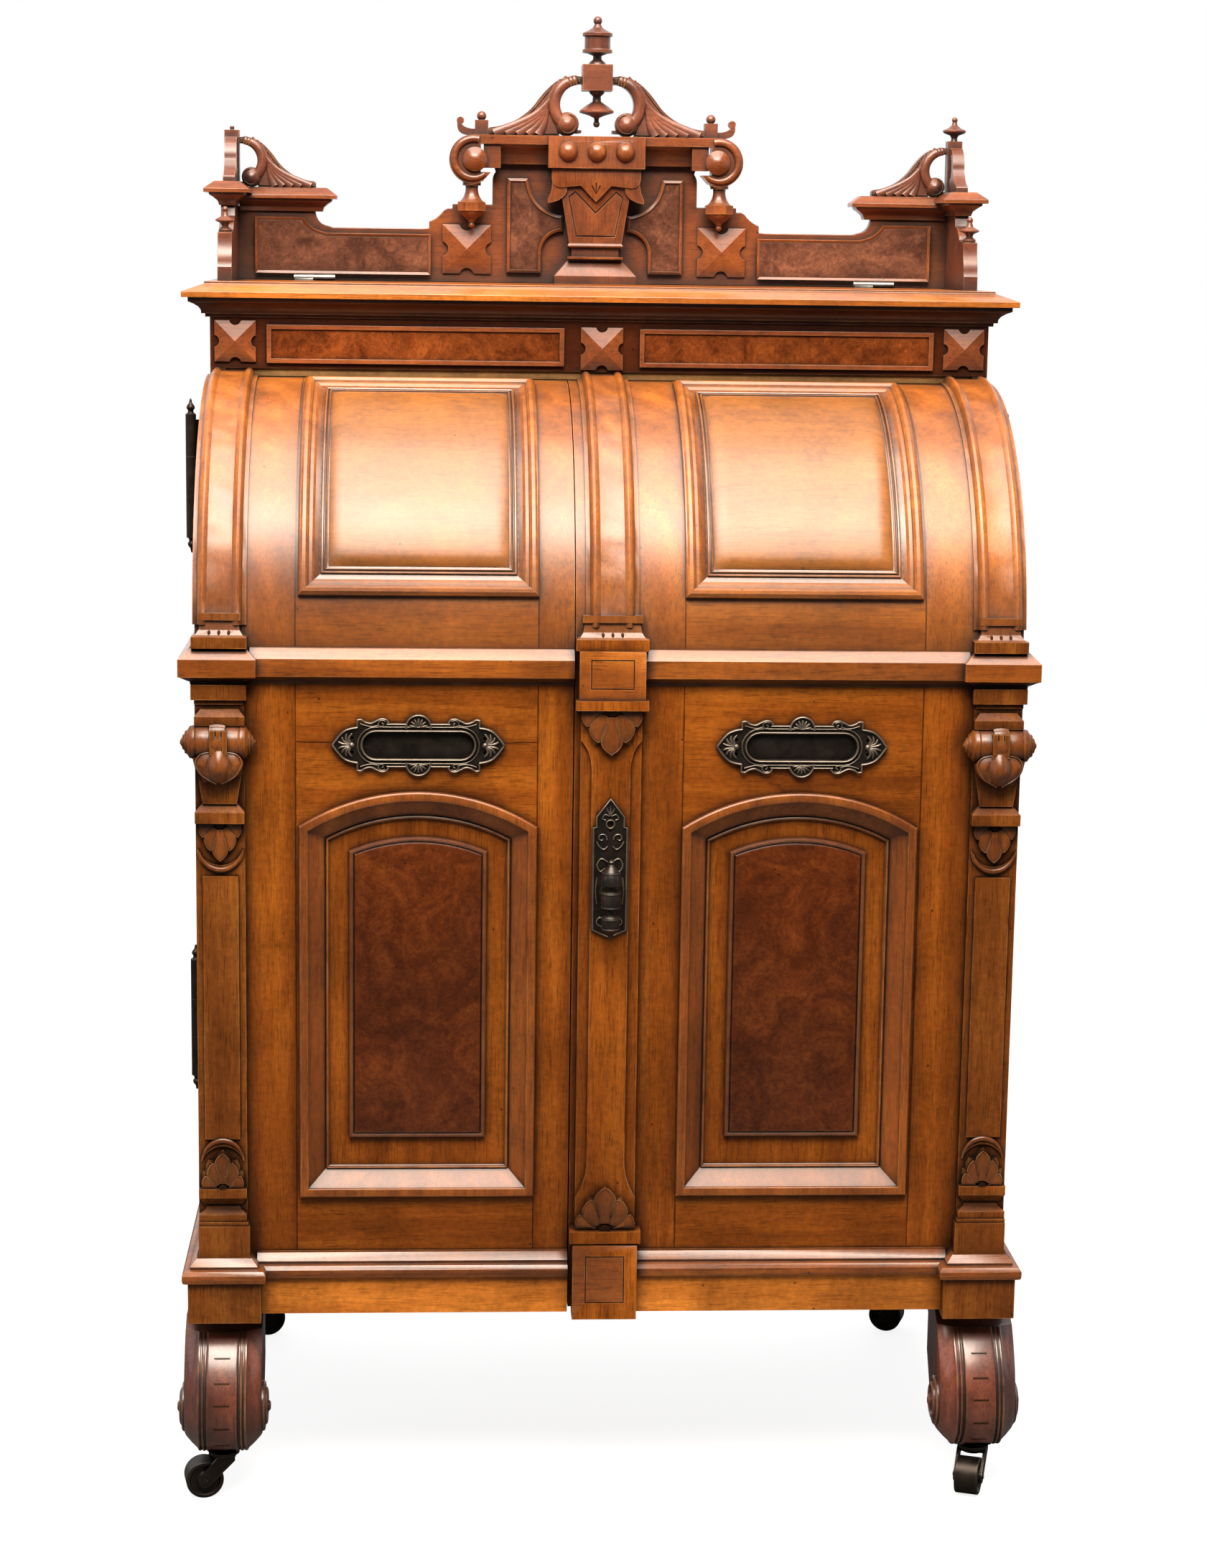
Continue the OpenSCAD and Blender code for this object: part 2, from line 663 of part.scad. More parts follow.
// Boss block with three half balls, shaped apron and tapering urn on its foot
module urn_panel() {
  y0 = board_y - 38;
  color(walnut) from_front() {
    board([-boss_hw, y0, rail_z - 43], [boss_hw, board_y, rail_z]);
    for (x = [-39, 0, 39]) intersection() {
      translate([x, y0 + 2, rail_z - 21]) sphere(r = 13.5);
      board([x - 14, y0 - 14, rail_z - 36], [x + 14, y0 + 1, rail_z - 6]);
    }
    plate_xz(y0 + 6, 32) polygon(concat([[-61, rail_z - 43]], arc([-48, rail_z - 56], 13, 180, 265, 5),
      [[-21, rail_z - 66], [0, rail_z - 88], [21, rail_z - 66]],
      arc([48, rail_z - 56], 13, 275, 360, 5), [[61, rail_z - 43]]));
    for (s = [0, 1]) mirror([s, 0, 0]) plate_xz(y0 + 8, 22) polygon(concat([[40, rail_z - 60]],
      bend([40, rail_z - 74], [46, rail_z - 88], [66, rail_z - 90], 5),
      bend([66, rail_z - 84], [60, rail_z - 76], [60, rail_z - 60], 5)));
    difference() {
      plate_xz(y0 + 12, 26) polygon([[-49, rail_z - 66], [-36, zt + 55], [36, zt + 55], [49, rail_z - 66]]);
      plate_xz(y0 + 11, 3) difference() {
        polygon([[-38, zt + 118], [-27, zt + 64], [27, zt + 64], [38, zt + 118], [28, zt + 126], [0, zt + 98],
                 [-28, zt + 126]]);
        polygon([[-36, zt + 117], [-25.5, zt + 66], [25.5, zt + 66], [36, zt + 117], [28, zt + 123],
                 [0, zt + 95], [-28, zt + 123]]);
      }
    }
    moulded(-38, 38, y0 + 10, board_y, zt + 33, [[3, 0], [0, 1], [0, 4], [6, 4], [6, 15], [1, 17], [0, 19],
      [2, 22], [8, 22]]);
    moulded(-56, 56, y0 + 2, board_y, zt, [[0, 0], [0, 11], [18, 31], [18, 33]]);
  }
}

cap_post_x = case_hw - 17;
cap_post_y = board_y + 2;
return_y0 = case_y0 + 62;
cap_prof = [[20, 0], [18, 6], [12, 11], [7, 14], [7, 17], [0, 17], [0, 22], [14, 32]];

// The higher cap over a side return, on the right
module return_cap() {
  moulded(cap_post_x - 28, case_hw + 16, return_y0 + 58, board_y + gallery_t + 10, corner_z + 6, cap_prof);
}

// Corner caps: one run along the board and one, a little higher, over each side return
module corner_caps() {
  color(walnut) from_front() for (s = [0, 1]) mirror([s, 0, 0]) {
    moulded(step_x - 6, cap_post_x - 10, board_y - 24, board_y + gallery_t + 6, corner_z, cap_prof, true, false);
    return_cap();
    board([cap_post_x - 10, board_y, corner_z], [gallery_hw, board_y + gallery_t, corner_z + 6]);
  }
}

// Posts and leaf scrolls standing on the corner caps
module corner_scrolls() {
  zc = corner_z + 32;
  h = 70;
  color(walnut) from_front() for (s = [0, 1]) mirror([s, 0, 0]) {
    board([cap_post_x - 10, cap_post_y - 10, zc + 6], [cap_post_x + 10, cap_post_y + 10, corner_z + 108]);
    difference() {
      translate([cap_post_x - 10, 0, zc]) mirror([1, 0, 0]) carved_leaf(cap_post_y - 10, 18, 104, h);
      return_cap();
    }
    translate([0, cap_post_y - 10, zc + 6]) mirror([0, 1, 0])
      plate_yz(cap_post_x - 8, 16) leaf_scroll(68, h - 6);
  }
}

// Side returns with a stepped scroll foot and a small turned finial at the front
module side_returns() {
  x0 = case_hw - 25;
  z1 = corner_z + 6;
  color(walnut) from_front() for (s = [0, 1]) mirror([s, 0, 0]) {
    plate_yz(x0, 19) polygon(concat(
      [[return_y0, zt], [board_y - seam, zt], [board_y - seam, z1], [return_y0 + 84, z1]],
      bend([return_y0 + 80, z1 - 14], [return_y0 + 50, z1 - 18], [return_y0 + 44, z1 - 32], 6),
      [[return_y0 + 32, z1 - 34], [return_y0 + 10, z1 - 36], [return_y0 + 10, zt + 54]],
      bend([return_y0 + 7, zt + 40], [return_y0 + 3, zt + 34], [return_y0 + 2, zt + 22], 5), [[return_y0, zt + 18]]));
    translate([x0 + 9.5, return_y0 + 20, z1 - 36]) {
      rotate_extrude() polygon([[0, 0], [8, 0], [9, 4], [4, 8], [6, 12], [13, 15], [13, 17], [5, 21], [3, 28],
                                [0, 28]]);
      translate([0, 0, 30]) sphere(r = 4.2);
    }
  }
}

// Trestles, casters and case fittings

// Outline of one scroll head with its rising arm, set forward by f
module head_outline(f) {
  polygon(concat(
    bend([20 - f, foot_z + 156], [-30 - f, foot_z + 92], [-33 - f, foot_z + 6], 10),
    [[-28, foot_z], [head_y + 10, foot_z], [head_y + 50, foot_z + 34], [100, foot_z + 96],
     [100, foot_z + 168], [50, foot_z + 168], [32, foot_z + 156]]));
}

// The centre strip of a scroll head carries a row of short cuts
module scroll_head() {
  for (l = [[foot_w / 2, 0], [30, 4]]) plate_yz(-l[0], 2 * l[0]) head_outline(l[1]);
  difference() {
    plate_yz(-17, 34) head_outline(7);
    for (p = bend([13, foot_z + 156], [-37, foot_z + 92], [-40, foot_z + 6], 6))
      if (p[1] < foot_z + 120) board([-9, p[0] - 4, p[1] + 6], [9, p[0] + 2.5, p[1] + 8.5]);
  }
  translate([-foot_w / 2, head_y, head_z]) rotate([0, 90, 0]) cylinder(r = head_r, h = foot_w);
  for (s = [0, 1]) mirror([s, 0, 0]) translate([foot_w / 2, head_y, head_z]) rotate([0, 90, 0])
    rotate_extrude() polygon([[0, 0], [rosette_r, 0], [rosette_r, 2], [rosette_r - 4, 4], [rosette_r - 8, 4],
      [rosette_r - 9, 7], [rosette_r - 14, 7], [rosette_r - 20, 5], [6, 6], [6, 9], [4, 11], [0, 11]]);
}

module trestles() {
  color(walnut_dark) from_front() for (s = [0, 1]) mirror([s, 0, 0]) difference() {
    union() {
      translate([foot_x, 0, 0]) scroll_head();
      translate([foot_x, case_y1, 0]) mirror([0, 1, 0]) scroll_head();
      plate_yz(foot_x - beam_w / 2, beam_w) polygon(concat(
        [[60, base_z - 15], [case_y0 - 2, base_z - 15], [case_y0 + 4, base_z], [case_y1 - 4, base_z],
         [case_y1 - 60, base_z - 15], [case_y1 - 90, base_z - 90]],
        bend([case_y1 - 110, base_z - 80], [mid_y, base_z - 20], [110, base_z - 80], 12),
        [[90, base_z - 90]]));
    }
    for (y = [stem_y, case_y1 - stem_y]) translate([foot_x, y, foot_z - 1])
      cylinder(r = socket_r + seam, h = socket_h + 1 + seam);
  }
}

// Side runs of the base and mid mouldings on the fixed case
module case_mouldings() {
  color(walnut) from_front() {
    for (m = [[z_mid, mid_prof], [z_rail, base_prof]]) difference() {
      moulded(-cap_hw, cap_hw, case_y0 - 60, case_y1, m[0], m[1]);
      board([-case_hw, -100, m[0] - 1], [case_hw, case_y1 + 1, m[0] + 60]);
      board([-case_hw - 60, -100, m[0] - 1], [case_hw + 60, case_y0, m[0] + 60]);
    }
    for (s = [0, 1]) mirror([s, 0, 0])
      board([case_hw, case_y0, base_z], [cap_hw - torus_out, case_y1, z_rail]);
  }
}

knuckle_h = barrel_h / 3;

// Fixed leaves, outer knuckles and tipped pins of the door hinges, and the fixed halves of the lid hinges
module case_hinges() {
  color(iron) from_front() {
    for (s = [0, 1], z = hinge_z) mirror([s, 0, 0]) translate([0, 0, z - barrel_h / 2]) {
      translate([pin_x, pin_y, 0]) {
        cylinder(r = pin_r, h = barrel_h);
        for (k = [0, 2]) translate([0, 0, k * knuckle_h])
          cylinder(r = barrel_r, h = knuckle_h - seam * (2 - k) / 2);
        translate([0, 0, barrel_h]) steeple();
        mirror([0, 0, 1]) steeple();
      }
      for (k = [0, 2]) translate([0, 0, k * knuckle_h]) {
        board([case_hw, pin_y + 1, 4], [pin_x, pin_y + 4.5, knuckle_h - 4]);
        board([case_hw, pin_y + 1, 4], [case_hw + 2.5, pin_y + 40, knuckle_h - 4]);
      }
    }
    for (s = [-1, 1]) translate([s * lid_hinge_x, lid_pin_y, lid_pin_z]) rotate([0, 90, 0]) {
      cylinder(r = 4, h = 28);
      translate([0, 0, -28]) cylinder(r = 2, h = 28.5);
      translate([-4, 0, 1]) cube([8.5, 9, 26]);
    }
  }
}

// Turned tip of a hinge pin
module steeple() {
  rotate_extrude() polygon([[0, 0], [barrel_r, 0], [barrel_r, 3], [4, 5], [3.6, 8], [5.6, 11], [5, 14], [2, 18],
                            [1.5, 22], [0, 24]]);
}

socket_r = 8.5;
socket_h = 42;

module caster_sockets() {
  color(iron) from_front() for (c = caster_at) translate([c[0], c[1], 0]) difference() {
    union() {
      translate([0, 0, foot_z - 3]) cylinder(r = 20, h = 3);
      translate([0, 0, foot_z - 3]) cylinder(r = socket_r, h = socket_h + 3);
    }
    translate([0, 0, foot_z - 4]) cylinder(r = stem_r + pin_fit, h = socket_h);
  }
}

// Doors

module door_front(x0, x1, sx) {
  difference() {
    board([x0, face_y, base_z + 2], [x1, plate_back, z_arc]);
    translate([sx * panel_x, 0, 0]) plate_xz(face_y - 1, field_sink + 1)
      arch(frame_w / 2 - 26, z_frame + 26, z_spring - 14, arch_rise - 12);
    board([sx * panel_x - slot_w / 2 - 3, face_y - 1, z_slot - slot_h / 2 - 3],
          [sx * panel_x + slot_w / 2 + 3, plate_back + 1, z_slot + slot_h / 2 + 5]);
  }
}

module left_door_front() { color(walnut) from_front() door_front(-case_hw, left_in, -1); }
module right_door_front() {
  color(walnut) from_front() difference() {
    door_front(right_in, case_hw, 1);
    translate([0, face_y - 1, z_handle]) rotate([-90, 0, 0]) cylinder(r = spindle_r + 1, h = plate_t + 2);
  }
}

// Height of the curved frame over the shell at each distance from its outer edge
frame_rise = [[0, 0], [0, 3], [2, 7], [5, 9]];
frame_fall = [[9, 9], [12, 6], [13, 3.5], [17, 3], [21, -0.4], [27, -2], [33, -2.9]];

// Places on the quarter round: a angle, r radius
function round_at(a, r) = [door_y1 - r * cos(a), z_arc + r * sin(a)];

// A closed drawing in Y and Z that follows the quarter round from one profile end to the other
module round_side(prof, low, high, middle) {
  run = concat([[prof[0][0], low]], prof, [[prof[len(prof) - 1][0] + 1, middle]]);
  polygon(concat(
    [for (p = run) round_at(curve_a0 + p[0] / shell_r * 57.3, shell_r + p[1])],
    [for (a = [curve_a0 + 9:6:curve_a1 - 9]) round_at(a, shell_r + middle)],
    [for (p = flip(run)) round_at(curve_a1 - p[0] / shell_r * 57.3, shell_r + p[1])],
    [for (a = [curve_a1 - 9:-6:curve_a0 + 9]) round_at(a, shell_r + high)]));
}

// Quarter-round board, with the sunk and framed panel worked on it
module door_shell(x0, x1, sx) {
  cx = sx * panel_x;
  hw = curve_w / 2;
  difference() {
    union() {
      swept(0, 90) translate([shell_r - shell_t, x0]) square([shell_t, x1 - x0]);
      intersection() {
        swept(curve_a0 - 1, curve_a1 + 1) polygon(concat([[shell_r - 5, cx - hw]],
          [for (p = frame_rise) [shell_r + p[1], cx - hw + p[0]]],
          flip([for (p = frame_rise) [shell_r + p[1], cx + hw - p[0]]]), [[shell_r - 5, cx + hw]]));
        plate_yz(cx - hw - 1, 2 * hw + 2) round_side(frame_rise, -5, -5, 14);
      }
    }
    intersection() {
      swept(curve_a0 - 1, curve_a1 + 1) polygon(concat([[shell_r + 12, cx - hw + 9]],
        [for (p = frame_fall) [shell_r + p[1], cx - hw + p[0]]],
        flip([for (p = frame_fall) [shell_r + p[1], cx + hw - p[0]]]), [[shell_r + 12, cx + hw - 9]]));
      plate_yz(cx - hw, 2 * hw) round_side(frame_fall, 16, 16, -6);
    }
  }
}

module left_door_shell() { color(walnut) from_front() door_shell(-case_hw, left_in, -1); }
module right_door_shell() { color(walnut) from_front() door_shell(right_in, case_hw, 1); }

// Wall of a door box, following the quarter round
module door_wall(x0, t) {
  r = shell_r - shell_t;
  board([x0, plate_back, base_z + 4], [x0 + t, door_y1, z_arc]);
  intersection() {
    translate([x0, door_y1, z_arc]) rotate([0, 90, 0]) cylinder(r = r, h = t, $fn = 180);
    board([x0, door_y1 - r - 1, z_arc], [x0 + t, door_y1, z_arc + r + 1]);
  }
}

module door_box(x0, x1) {
  door_wall(x0, wall_t);
  door_wall(x1 - wall_t, wall_t);
  board([x0 + wall_t, plate_back, base_z + 4], [x1 - wall_t, door_y1, base_z + 4 + wall_t]);
  board([x0 + wall_t, plate_back, z_bin], [x1 - wall_t, door_y1, z_bin + part_t]);
  board([x0 + wall_t, plate_back, z_arc - part_t], [x1 - wall_t, door_y1, z_arc]);
}

module left_door_box() {
  color(inner_wood) from_front() difference() {
    door_box(-case_hw, left_in);
    board([left_in - wall_t - 1, face_y + 21.5, z_bolt - 8.5], [left_in + 1, face_y + 31.5, z_bolt + 8.5]);
    board([left_in - 2, plate_back + 1, z_bolt - 22], [left_in + 1, plate_back + 16, z_bolt + 22]);
  }
}
module right_door_box() {
  color(inner_wood) from_front() difference() {
    door_box(right_in, case_hw);
    board([right_in - 1, face_y + 22, z_bolt - 8], [right_in + wall_t + 1, face_y + 31, z_bolt + 8]);
  }
}

letter_x0 = -panel_x - slot_w / 2 - 14;
letter_x1 = -panel_x + slot_w / 2 + 14;

// Letter box behind the slot, and pigeonhole boards above and beside it
module left_door_shelves() {
  ya = plate_back;
  zl = z_slot - letter_drop;
  zu = z_slot + 40;
  xi = left_in - wall_t;
  xo = -case_hw + wall_t;
  color(inner_wood) from_front() {
    board([letter_x0, ya, zl], [letter_x0 + 6, ya + letter_d, zu]);
    board([letter_x1 - 6, ya, zl], [letter_x1, ya + letter_d, zu]);
    board([letter_x0 + 6, ya, zl], [letter_x1 - 6, ya + letter_d, zl + 6]);
    board([letter_x0 + 6, ya + letter_d - 6, zl + 6], [letter_x1 - 6, ya + letter_d, zu]);
    board([xo, ya + letter_d + 8, zl - 60], [xi, door_y1, zl - 60 + part_t]);
    for (x = [xo + (xi - xo) / 3, xo + (xi - xo) * 2 / 3])
      board([x - part_t / 2, ya + letter_d + 8, zl - 60 + part_t], [x + part_t / 2, door_y1, z_arc - part_t]);
    board([xo, ya + 60, z_arc + 130], [xi, door_y1, z_arc + 130 + part_t]);
    board([(xo + xi) / 2 - part_t / 2, ya + 60, z_arc], [(xo + xi) / 2 + part_t / 2, door_y1, z_arc + 130]);
  }
}

// Stacks of covered file boxes filling the right door, grooved between the boxes
module file_boxes() {
  x0 = right_in + wall_t + 1;
  x1 = case_hw - wall_t - 1;
  w = (x1 - x0) / 3;
  h = (z_arc - z_bin - 2 * part_t) / 4;
  r = shell_r - shell_t - 3;
  z2 = sqrt(r * r - file_d * file_d);
  z3 = sqrt(r * r - file_top_d * file_top_d);
  color(box_green) from_front() for (i = [0:2]) {
    for (b = [[z_bin + part_t, 4, h, file_d], [z_arc, 2, z2 / 2, file_d], [z_arc + z2, 1, z3 - z2, file_top_d]])
      difference() {
      board([x0 + i * w + 1, door_y1 - b[3], b[0]], [x0 + (i + 1) * w - 1, door_y1 - 3, b[0] + b[1] * b[2]]);
      for (k = [0:b[1] - 1]) board([x0 + i * w, door_y1 - 7, b[0] + (k + 1) * b[2] - 2],
                                  [x0 + (i + 1) * w, door_y1, b[0] + (k + 1) * b[2] + 1]);
    }
  }
}

// Raised arched panel with a bevelled edge, its sunk field and the stepped and sloped frame round it
module arched_panel(sx) {
  hw = frame_w / 2;
  h = (z_spring + arch_rise - z_frame) / 2;
  cz = z_frame + h;
  bw = burl_w / 2;
  z0 = z_frame + 74;
  z1 = z_spring - 35;
  bh = (z1 + 18 - z0) / 2;
  translate([sx * panel_x, 0, 0]) {
    difference() {
      union() {
        sloped_front(face_y - frame_proud, frame_proud, cz, [(hw - 3.5) / hw, (h - 3.5) / h])
          arch(hw, z_frame, z_spring, arch_rise);
        plate_xz(face_y, field_sink) arch(hw - 26, z_frame + 26, z_spring - 14, arch_rise - 12);
      }
      plate_xz(face_y - frame_proud - 1, frame_proud - 2) arch(hw - 14, z_frame + 14, z_spring - 8, arch_rise - 7);
      sloped_back(face_y - 3.01, field_sink + 3.02, cz, [(hw - 38) / (hw - 26), (h - 38) / (h - 26)])
        arch(hw - 26, z_frame + 26, z_spring - 14, arch_rise - 12);
    }
    sloped_front(face_y + field_sink - burl_proud, burl_proud, z0 + bh, [(bw - 4) / bw, (bh - 4) / bh])
      arch(bw, z0, z1, 18);
  }
}

module left_door_panels() { color(burl) from_front() arched_panel(-1); }
module right_door_panels() { color(burl) from_front() arched_panel(1); }

// Two beads and the flat between them, swept round the quarter
module rib(cx) {
  swept(5, 90) polygon([for (p = [[shell_r - 3, -33], [shell_r + 3, -33], [shell_r + 3, -28], [rib_r - 5, -27],
    [rib_r - 1, -24], [rib_r, -21], [rib_r - 1, -18], [rib_r - 4, -15], [rib_r - 4, 15], [rib_r - 1, 18],
    [rib_r, 21], [rib_r - 1, 24], [rib_r - 5, 27], [shell_r + 3, 28], [shell_r + 3, 33], [shell_r - 3, 33]])
      [p[0], cx + p[1]]]);
}

// A rib standing on its fluted foot and abacus, both fitted to the shell behind them
module footed_rib(cx, hw) {
  difference() {
    union() {
      rib(cx);
      moulded(cx - hw, cx + hw, rib_y - 6, face_y + 6, z_arc,
        [[0, 0], [0, 14], [5, 16], [9, 22], [11, 34], [8, 34], [8, 43]]);
    }
    translate([cx, door_y1, z_arc]) rotate([0, 90, 0])
      cylinder(r = shell_r, h = 2 * hw + 2, center = true, $fn = 180);
    for (x = [-12, 0, 12]) translate([cx + x, rib_y + 1, z_arc + 16]) cylinder(r = 2, h = 18);
  }
}

// Fan of petals pointing up, on z = 0
module palmette(w, h) {
  translate([0, h * 0.07]) circle(r = w * 0.11, $fn = 24);
  for (a = [[-62, 0.66], [-33, 0.82], [0, 1], [33, 0.82], [62, 0.66]])
    rotate(a[0] * 0.8) polygon(concat([[0, 0]],
      bend([w * 0.10, h * 0.2], [w * 0.24, h * a[1] * 0.75], [0, h * a[1]], 5),
      bend([0, h * a[1]], [-w * 0.24, h * a[1] * 0.75], [-w * 0.10, h * 0.2], 5)));
}

// The same fan with its petals raised in two steps
module carved_palmette(y, t, w, h, down = false) {
  mirror([0, 0, down ? 1 : 0]) {
    plate_xz(y, t) palmette(w, h);
    plate_xz(y - 1.5, 2) offset(delta = -1.6) palmette(w, h);
  }
}

// Strap over the roll, ending in a leaf with an egg at its heart
module tongue() {
  plate_xz(-14, 24) translate([-10.5, -28]) difference() {
    square([21, 30]);
    for (x = [6, 13]) translate([x, -1]) square([2, 32]);
  }
  plate_xz(-12.5, 22) translate([-10.5, -28]) square([21, 30]);
  plate_xz(-7, 17) polygon(concat([[-11, -26]], bend([-20, -27], [-32, -33], [-29, -45], 5),
    bend([-26, -52], [-18, -62], [0, -64], 5), bend([18, -62], [26, -52], [29, -45], 5),
    bend([32, -33], [20, -27], [11, -26], 5)));
  plate_xz(-10, 4) for (s = [0, 1]) mirror([s, 0]) polygon(concat(bend([12, -27], [24, -29], [27, -41], 5),
    bend([25, -48], [20, -50], [16, -52], 5)));
  intersection() {
    translate([0, -6, -41]) scale([0.62, 0.55, 1]) sphere(r = 22, $fn = 28);
    plate_xz(-30, 24.5) translate([-20, -66]) square([40, 40]);
  }
}

// Corner pilaster on the right side, with everything that stands on it
module corner_pilaster() {
  x0 = pil_x - pil_w / 2;
  front = 14;
  board([x0, front, z_lower], [case_hw, face_y, z_mid]);
  moulded(pil_x - 33, case_hw + 4.5, 8, face_y, z_mid - 25, [[4, 0], [4, 6], [0, 6], [0, 25]]);
  moulded(pil_x - 31, case_hw, 2, front, z_mid - 50, [[0, 0], [0, 11], [7, 19], [7, 20]]);
  translate([pil_x + 2, 8, z_mid - 71]) rotate([0, 90, 0]) {
    cylinder(r = roll_r, h = 68, center = true);
    for (s = [0, 1]) mirror([0, 0, s]) rotate_extrude()
      polygon([[0, 30], [roll_r, 30], [roll_r, 34], [roll_r - 3, 36], [roll_r - 5, 36], [roll_r - 6, 40],
               [roll_r - 10, 40], [roll_r - 11, 43], [4, 43], [3, 46], [0, 46]]);
  }
  translate([pil_x, 0, z_mid - 56]) tongue();
  plate_xz(5, front - 5) polygon([[pil_x - 30, z_mid - 92], [pil_x - 21, z_mid - 148], [pil_x + 21, z_mid - 148],
                                 [pil_x + 30, z_mid - 92]]);
  moulded(pil_x - 30.5, pil_x + 30.5, 0, front, z_mid - 172, [[0, 0], [0, 14], [9, 24], [9, 25]]);
  translate([pil_x, 0, z_mid - 173]) carved_palmette(11, 3, 60, 46, true);
  plate_xz(11, 3) translate([pil_x, z_mid - 206]) difference() {
    circle(r = 29);
    translate([0, 9]) circle(r = 29);
    translate([-40, 0]) square([80, 60]);
  }
  board([pil_x - 22, 11.5, z_lower + 150], [pil_x + 22, front, z_mid - 240]);
  plate_xz(11, 3) translate([pil_x, z_lower + 122]) difference() {
    circle(r = 27);
    translate([0, -8]) circle(r = 27);
    translate([-40, -60]) square([80, 60]);
  }
  translate([pil_x, 0, z_lower + 87]) carved_palmette(9.5, 4.5, 66, 50);
  moulded(pil_x - 30, pil_x + 30, 4, front, z_lower + 66, [[6, 0], [4, 4], [0, 9], [0, 21]]);
  moulded(pil_x - 30, pil_x + 30, 4, front, z_lower + 45, [[0, 0], [0, 8], [8, 14], [9, 17]]);
  board([pil_x - 34, 0, z_lower], [case_hw, face_y, z_lower + 39]);
  moulded(pil_x - 32, case_hw, 2, face_y, z_lower + 39, [[0, 0], [0, 5], [2, 5], [2, 6]]);
}

// Mouldings, base, pilaster and rib of a door whose joint edge is at x0 and outer face on the right
module door_trim(x0) {
  moulded(x0, cap_hw - cap_w + 8, mid_rail_y, face_y, z_mid, [for (p = mid_prof) [p[0] * 0.75, p[1]]], false, false);
  moulded(cap_hw - cap_w, cap_hw, 0, door_y1, z_mid, mid_prof);
  board([x0, base_rail_y, base_z], [cap_hw - base_block_w, face_y, z_rail]);
  moulded(x0, cap_hw - base_block_w, base_rail_y - torus_out, face_y, z_rail,
    [for (p = base_prof) [p[0], p[1]]], false, false);
  board([cap_hw - torus_out - base_block_w, base_block_y, base_z - block_drop],
        [cap_hw - torus_out, face_y, z_rail]);
  board([case_hw, face_y, base_z], [cap_hw - torus_out, door_y1, z_rail]);
  moulded(cap_hw - base_block_w - 2 * torus_out, cap_hw + 1, base_block_y - torus_out, door_y1, z_rail, base_prof);
  footed_rib(pil_x, 34);
  corner_pilaster();
}

// What the run-on mouldings of a door must not fill
module trim_clear(x0) {
  board([x0 - 1, face_y, base_z - 20], [case_hw, door_y1 + 1, z_arc]);
}

module right_door_trim() {
  color(walnut) from_front() difference() {
    door_trim(centre_hw + 0.01);
    trim_clear(right_in);
  }
}

module left_door_trim() {
  color(walnut) from_front() mirrored() difference() {
    door_trim(-left_in);
    trim_clear(-left_in);
  }
}

// Centre rib, blocks and pilaster carried by the right door
module centre_pilaster() {
  color(walnut) from_front() difference() {
    union() {
      footed_rib(0, 45.2);
      difference() {
        board([-centre_hw, 0, z_mid - 16], [centre_hw, face_y, z_arc]);
        plate_xz(-1, 2.5) difference() {
          translate([-27, z_mid - 2]) square([54, 37]);
          translate([-25.5, z_mid - 0.5]) square([51, 34]);
        }
      }
      moulded(-45, 45, -4, face_y, z_mid - 28, [[0, 0], [0, 12]]);
      difference() {
        board([-38, 10, z_lower + 30], [38, face_y, z_mid - 28]);
        for (s = [0, 1]) mirror([s, 0, 0]) plate_xz(9, 6) polygon(concat([[39, z_mid - 68], [37, z_mid - 68]],
          bend([34, z_mid - 72], [24, z_mid - 84], [24, z_mid - 110], 6),
          bend([24, z_lower + 120], [24, z_lower + 96], [37, z_lower + 74], 6), [[39, z_lower + 74]]));
      }
      translate([0, 0, z_mid - 28]) carved_palmette(6.5, 3.5, 74, 60, true);
      translate([0, 0, z_lower + 31]) carved_palmette(5.5, 4.5, 84, 57);
      moulded(-45.2, 45.2, -4, face_y, z_lower + 13, [[2, 0], [0, 2], [0, 18]]);
      difference() {
        board([-centre_hw, base_block_y + 6, base_z - block_drop], [centre_hw, face_y, z_lower + 13]);
        plate_xz(base_block_y + 5, 2.5) difference() {
          translate([-25, base_z + 17]) square([50, 62]);
          translate([-23.5, base_z + 18.5]) square([47, 59]);
        }
      }
    }
    translate([0, -20, z_handle]) rotate([-90, 0, 0]) cylinder(r = spindle_r + 1, h = 60);
    board([-46, face_y, base_z - 20], [46, door_y1, z_mid + 1]);
  }
}

// Moving leaves and middle knuckles of the door hinges
module door_leaves() {
  for (z = hinge_z) translate([0, 0, z - barrel_h / 2 + knuckle_h]) {
    difference() {
      union() {
        translate([pin_x, pin_y, 0]) cylinder(r = barrel_r, h = knuckle_h - seam);
        board([case_hw, pin_y - 4.5, 4], [pin_x, pin_y - 1, knuckle_h - 4]);
      }
      translate([pin_x, pin_y, -1]) cylinder(r = pin_r + pin_fit, h = knuckle_h + 2);
    }
    board([case_hw, pin_y - 40, 4], [case_hw + 2.5, pin_y - 1, knuckle_h - 4]);
  }
}

// Left door hinge leaves, and the keeper plate that the bolt enters
module left_door_hardware() {
  color(iron) from_front() {
    mirrored() door_leaves();
    difference() {
      board([left_in - 2, plate_back + 1, z_bolt - 22], [left_in - 0.2, plate_back + 16, z_bolt + 22]);
      board([left_in - 3, face_y + 21.5, z_bolt - 8], [left_in + 1, face_y + 31.5, z_bolt + 8]);
    }
  }
}

module right_door_hinges() { color(iron) from_front() door_leaves(); }

